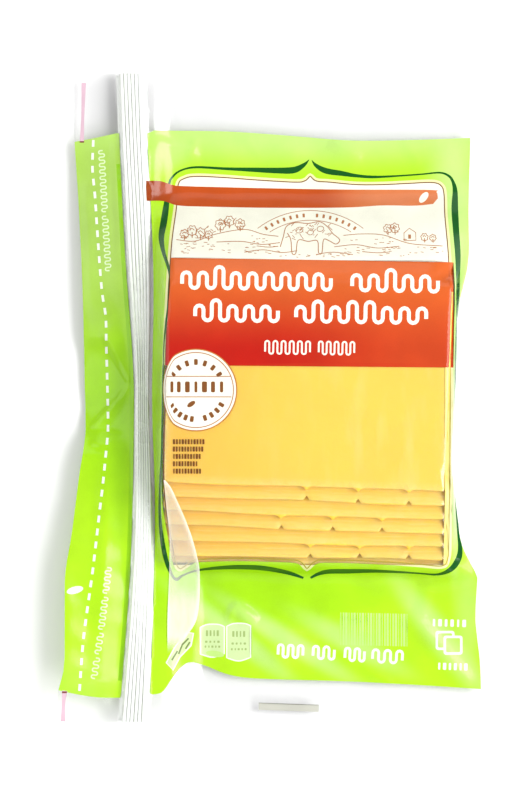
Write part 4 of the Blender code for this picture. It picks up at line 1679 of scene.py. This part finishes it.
class CHEESEPACK_OT_loose_fold(bpy.types.Operator):
    """Add the loose fold of film that lies over the window's lower left corner, white with painted glare"""

    bl_idname = "cheese_pack.loose_fold"
    bl_label = "Loose fold"

    def execute(self, context):
        shape = pack_shape()
        left, right = smooth_line(LOOSE_FOLD_LEFT), smooth_line(LOOSE_FOLD_RIGHT)
        outline = np.vstack([left, right[::-1]])
        flat, faces, _ = cut_sheet(outline, [], sizes().mesh / MM * LOOSE_FOLD_MESH)
        x, y = flat[:, 0], flat[:, 1]
        thickness = sizes().film / MM
        outer = shape.at(shape.front, x, y) + LOOSE_FOLD_CLEARANCE + thickness
        facing = np.array(LOOSE_FOLD_FACING) / np.linalg.norm(LOOSE_FOLD_FACING)
        normals = np.tile(facing, (len(flat), 1))
        sheet = Sheet(flat, faces, np.full(len(faces), "fold"), outer, outer - thickness, normals)
        piece = sheet_piece("loose_fold", sheet, sheet.inks == "fold", fold_glare_material(), True, False)
        spots = np.array([tuple(v.co) for v in piece.data.vertices]) / MM
        milk = self.milk(spots[:, 0], spots[:, 1], left, right)
        layer(piece, "milk", "FLOAT", "POINT", "value", milk)
        wear(piece)
        return {"FINISHED"}

    def milk(self, x, y, left, right):
        """How much painted glare each of the fold's two faces carries; together they hide body plus creases.
        """
        to_left = x - np.interp(y, left[::-1, 1], left[::-1, 0])
        to_right = np.interp(y, right[::-1, 1], right[::-1, 0]) - x
        at_foot, on_green = GLARE_AT_FOOT * eased(-54.0, -58.0, y), GLARE_ON_GREEN * eased(-60.0, -70.0, y)
        body = GLARE_BODY + at_foot + on_green
        sides = ((RIGHT_CREASE, to_right), (LEFT_CREASE, to_left))
        creases = sum(share * np.exp(-((away / spread) ** 2)) for (share, spread), away in sides)
        whole = np.clip(body + creases, 0.0, GLARE_MOST) * eased(-83.4, -77.0, y)
        return 1 - np.sqrt(1 - whole)


class CHEESEPACK_OT_press_strip(bpy.types.Operator):
    """Dress the press-to-close strip and add the fine ridges along it"""

    bl_idname = "cheese_pack.press_strip"
    bl_label = "Press-to-close strip"

    def execute(self, context):
        material = strip_material()
        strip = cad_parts["press_strip"]
        strip.data.materials.clear()
        strip.data.materials.append(material)
        shape = pack_shape()
        stations = np.linspace(shape.low[1] + 0.6, shape.high[1] - 0.6, 180)
        left = shape.line("header_inner", stations) + shape.STRIP_MARGIN
        right = shape.line("pouch_left", stations) - shape.STRIP_MARGIN
        inset, sunk = 0.6, 0.38
        top = [height_at(shape.strip, x + inset, y) for x, y in zip(left, stations)]
        level = blurred(np.column_stack([top, top]), 3.0)[:, 0] - sunk
        path = path_object("ridge_path", np.column_stack([left, stations, level]))
        across = path.data.attributes.new("across", "FLOAT_VECTOR", "POINT")
        for item, reach in zip(across.data, right - left):
            item.vector = (reach * MM, 0.0, 0.0)
        values = {"Ridges": sizes().ridges, "Radius": sizes().ridge_radius}
        wear(ridge_tree().grow("press_ridges", path, values, material))
        self.flanges(shape, stations, left, right, material)
        return {"FINISHED"}

    def flanges(self, shape, stations, left, right, material):
        """A thin web from film to film that carries the strip."""
        under = np.array([shape.strip_height(y) for y in stations]) - 0.95
        edges = (left - shape.STRIP_MARGIN - 0.3, right + shape.STRIP_MARGIN + 0.3)
        columns = (
            (edges[0], shape.at(shape.seam, edges[0], stations) + 0.1), (left + 0.1, under),
            (right - 0.1, under), (edges[1], shape.at(shape.seam, edges[1], stations) + 0.1),
        )
        flat = np.vstack([np.column_stack([x, stations]) for x, _ in columns])
        outer = np.concatenate([z for _, z in columns])
        count, faces = len(stations), []
        for column in range(len(columns) - 1):
            for k in range(count - 1):
                a, b = column * count + k, (column + 1) * count + k
                faces += [(a, b, b + 1), (a, b + 1, a + 1)]
        points, triangles, _ = thick_sheet(flat, np.array(faces), outer, outer - 0.12, True)
        wear(mesh_object("strip_flanges", points, triangles, material))


class CHEESEPACK_OT_tear_line(bpy.types.Operator):
    """Add the dashed tear line along the header"""

    bl_idname = "cheese_pack.tear_line"
    bl_label = "Tear line"

    def execute(self, context):
        lift, thickness = RAY_TOP, 0.05
        line = smooth_line(TEAR_LINE, 8)
        path = path_object("tear_path", [(x, y, lift) for x, y in line])
        values = {
            "Pitch": sizes().dash_pitch, "Length": sizes().dash_length, "Width": sizes().dash_width,
            "Thickness": thickness * MM, "Lift": (lift - 0.04) * MM, "Film": bpy.data.objects["front_film"],
        }
        wear(dash_tree().grow("tear_line", path, values, dash_material()))
        return {"FINISHED"}


class CHEESEPACK_OT_slices(bpy.types.Operator):
    """Add the stack of slices, each stepping down the pack from the one above it"""

    bl_idname = "cheese_pack.slices"
    bl_label = "Slices"

    def execute(self, context):
        material = cheese_material()
        for index in range(sizes().slices):
            wear(self.slice_piece(index, material))
        return {"FINISHED"}

    def slice_piece(self, index, material):
        outline = slice_outline(index)
        side = sideways(outline, closed=True)
        inner = outline + side * SLICE_BEVEL
        flat, faces, _ = cut_sheet(inner, [], SLICE_MESH)
        thickness = sizes().slice_thickness / MM
        count, ring_count = len(flat), len(outline)
        order = [int(np.argmin(np.linalg.norm(flat - p, axis=1))) for p in inner]
        phases = np.random.default_rng(40 + index).uniform(0, 6.28, 4)
        spots = placed(np.vstack([flat, flat, outline, outline]), index)
        x, y = spots[:, 0], spots[:, 1]
        swell = [0.03 * np.sin(x / (4.0 + 3 * n) + phases[n]) * np.sin(y / (5.0 + 2 * n)) for n in range(4)]
        base = slice_levels(index, y) + sum(swell)
        height = np.repeat(
            (thickness, 0.0, thickness - SLICE_BEVEL, SLICE_BEVEL), (count, count, ring_count, ring_count)
        )
        points = np.column_stack([x, y, base + height])
        triangles = np.vstack([faces, faces[:, ::-1] + count]).tolist()
        upper, lower = 2 * count, 2 * count + ring_count
        for k in range(ring_count):
            n = (k + 1) % ring_count
            for a, b, c, d in (
                (order[k], upper + k, upper + n, order[n]),
                (upper + k, lower + k, lower + n, upper + n),
                (lower + k, count + order[k], count + order[n], lower + n),
            ):
                triangles += [(a, b, c), (a, c, d)]
        piece = mesh_object(f"slice_{index + 1:02d}", points, triangles, material)
        local = np.vstack([flat, flat, outline, outline])
        depth = slice_half() - np.abs(local).max(1)
        rim = np.clip(1 - depth / 3.2, 0, 1) ** 1.4
        layer(piece, "rim", "FLOAT", "POINT", "value", rim)
        return piece


OPERATORS = (
    CHEESEPACK_OT_stage,
    CHEESEPACK_OT_printed_film,
    CHEESEPACK_OT_clear_film,
    CHEESEPACK_OT_loose_fold,
    CHEESEPACK_OT_press_strip,
    CHEESEPACK_OT_tear_line,
    CHEESEPACK_OT_slices,
)


class CHEESEPACK_PT_panel(bpy.types.Panel):
    """Buttons for each piece of the pack"""

    bl_idname = "CHEESEPACK_PT_panel"
    bl_label = "Cheese Pack"
    bl_space_type = "VIEW_3D"
    bl_region_type = "UI"
    bl_category = "Cheese Pack"

    def draw(self, context):
        for operator in OPERATORS:
            self.layout.operator(operator.bl_idname)
        for group in (context.scene.cheese_pack_sizes, context.scene.cheese_pack_colours):
            column = self.layout.column()
            for name in group.bl_rna.properties.keys():
                if name not in {"rna_type", "name"}:
                    column.prop(group, name)


CLASSES = (CheesePackSizes, CheesePackColours, *OPERATORS, CHEESEPACK_PT_panel)


def register():
    for item in CLASSES:
        bpy.utils.register_class(item)
    bpy.types.Scene.cheese_pack_sizes = bpy.props.PointerProperty(type=CheesePackSizes)
    bpy.types.Scene.cheese_pack_colours = bpy.props.PointerProperty(type=CheesePackColours)


def unregister():
    del bpy.types.Scene.cheese_pack_colours
    del bpy.types.Scene.cheese_pack_sizes
    for item in reversed(CLASSES):
        bpy.utils.unregister_class(item)


def main():
    register()
    bpy.ops.cheese_pack.stage()
    bpy.ops.cheese_pack.printed_film()
    bpy.ops.cheese_pack.clear_film()
    bpy.ops.cheese_pack.loose_fold()
    bpy.ops.cheese_pack.press_strip()
    bpy.ops.cheese_pack.tear_line()
    bpy.ops.cheese_pack.slices()


if __name__ == "__main__":
    main()
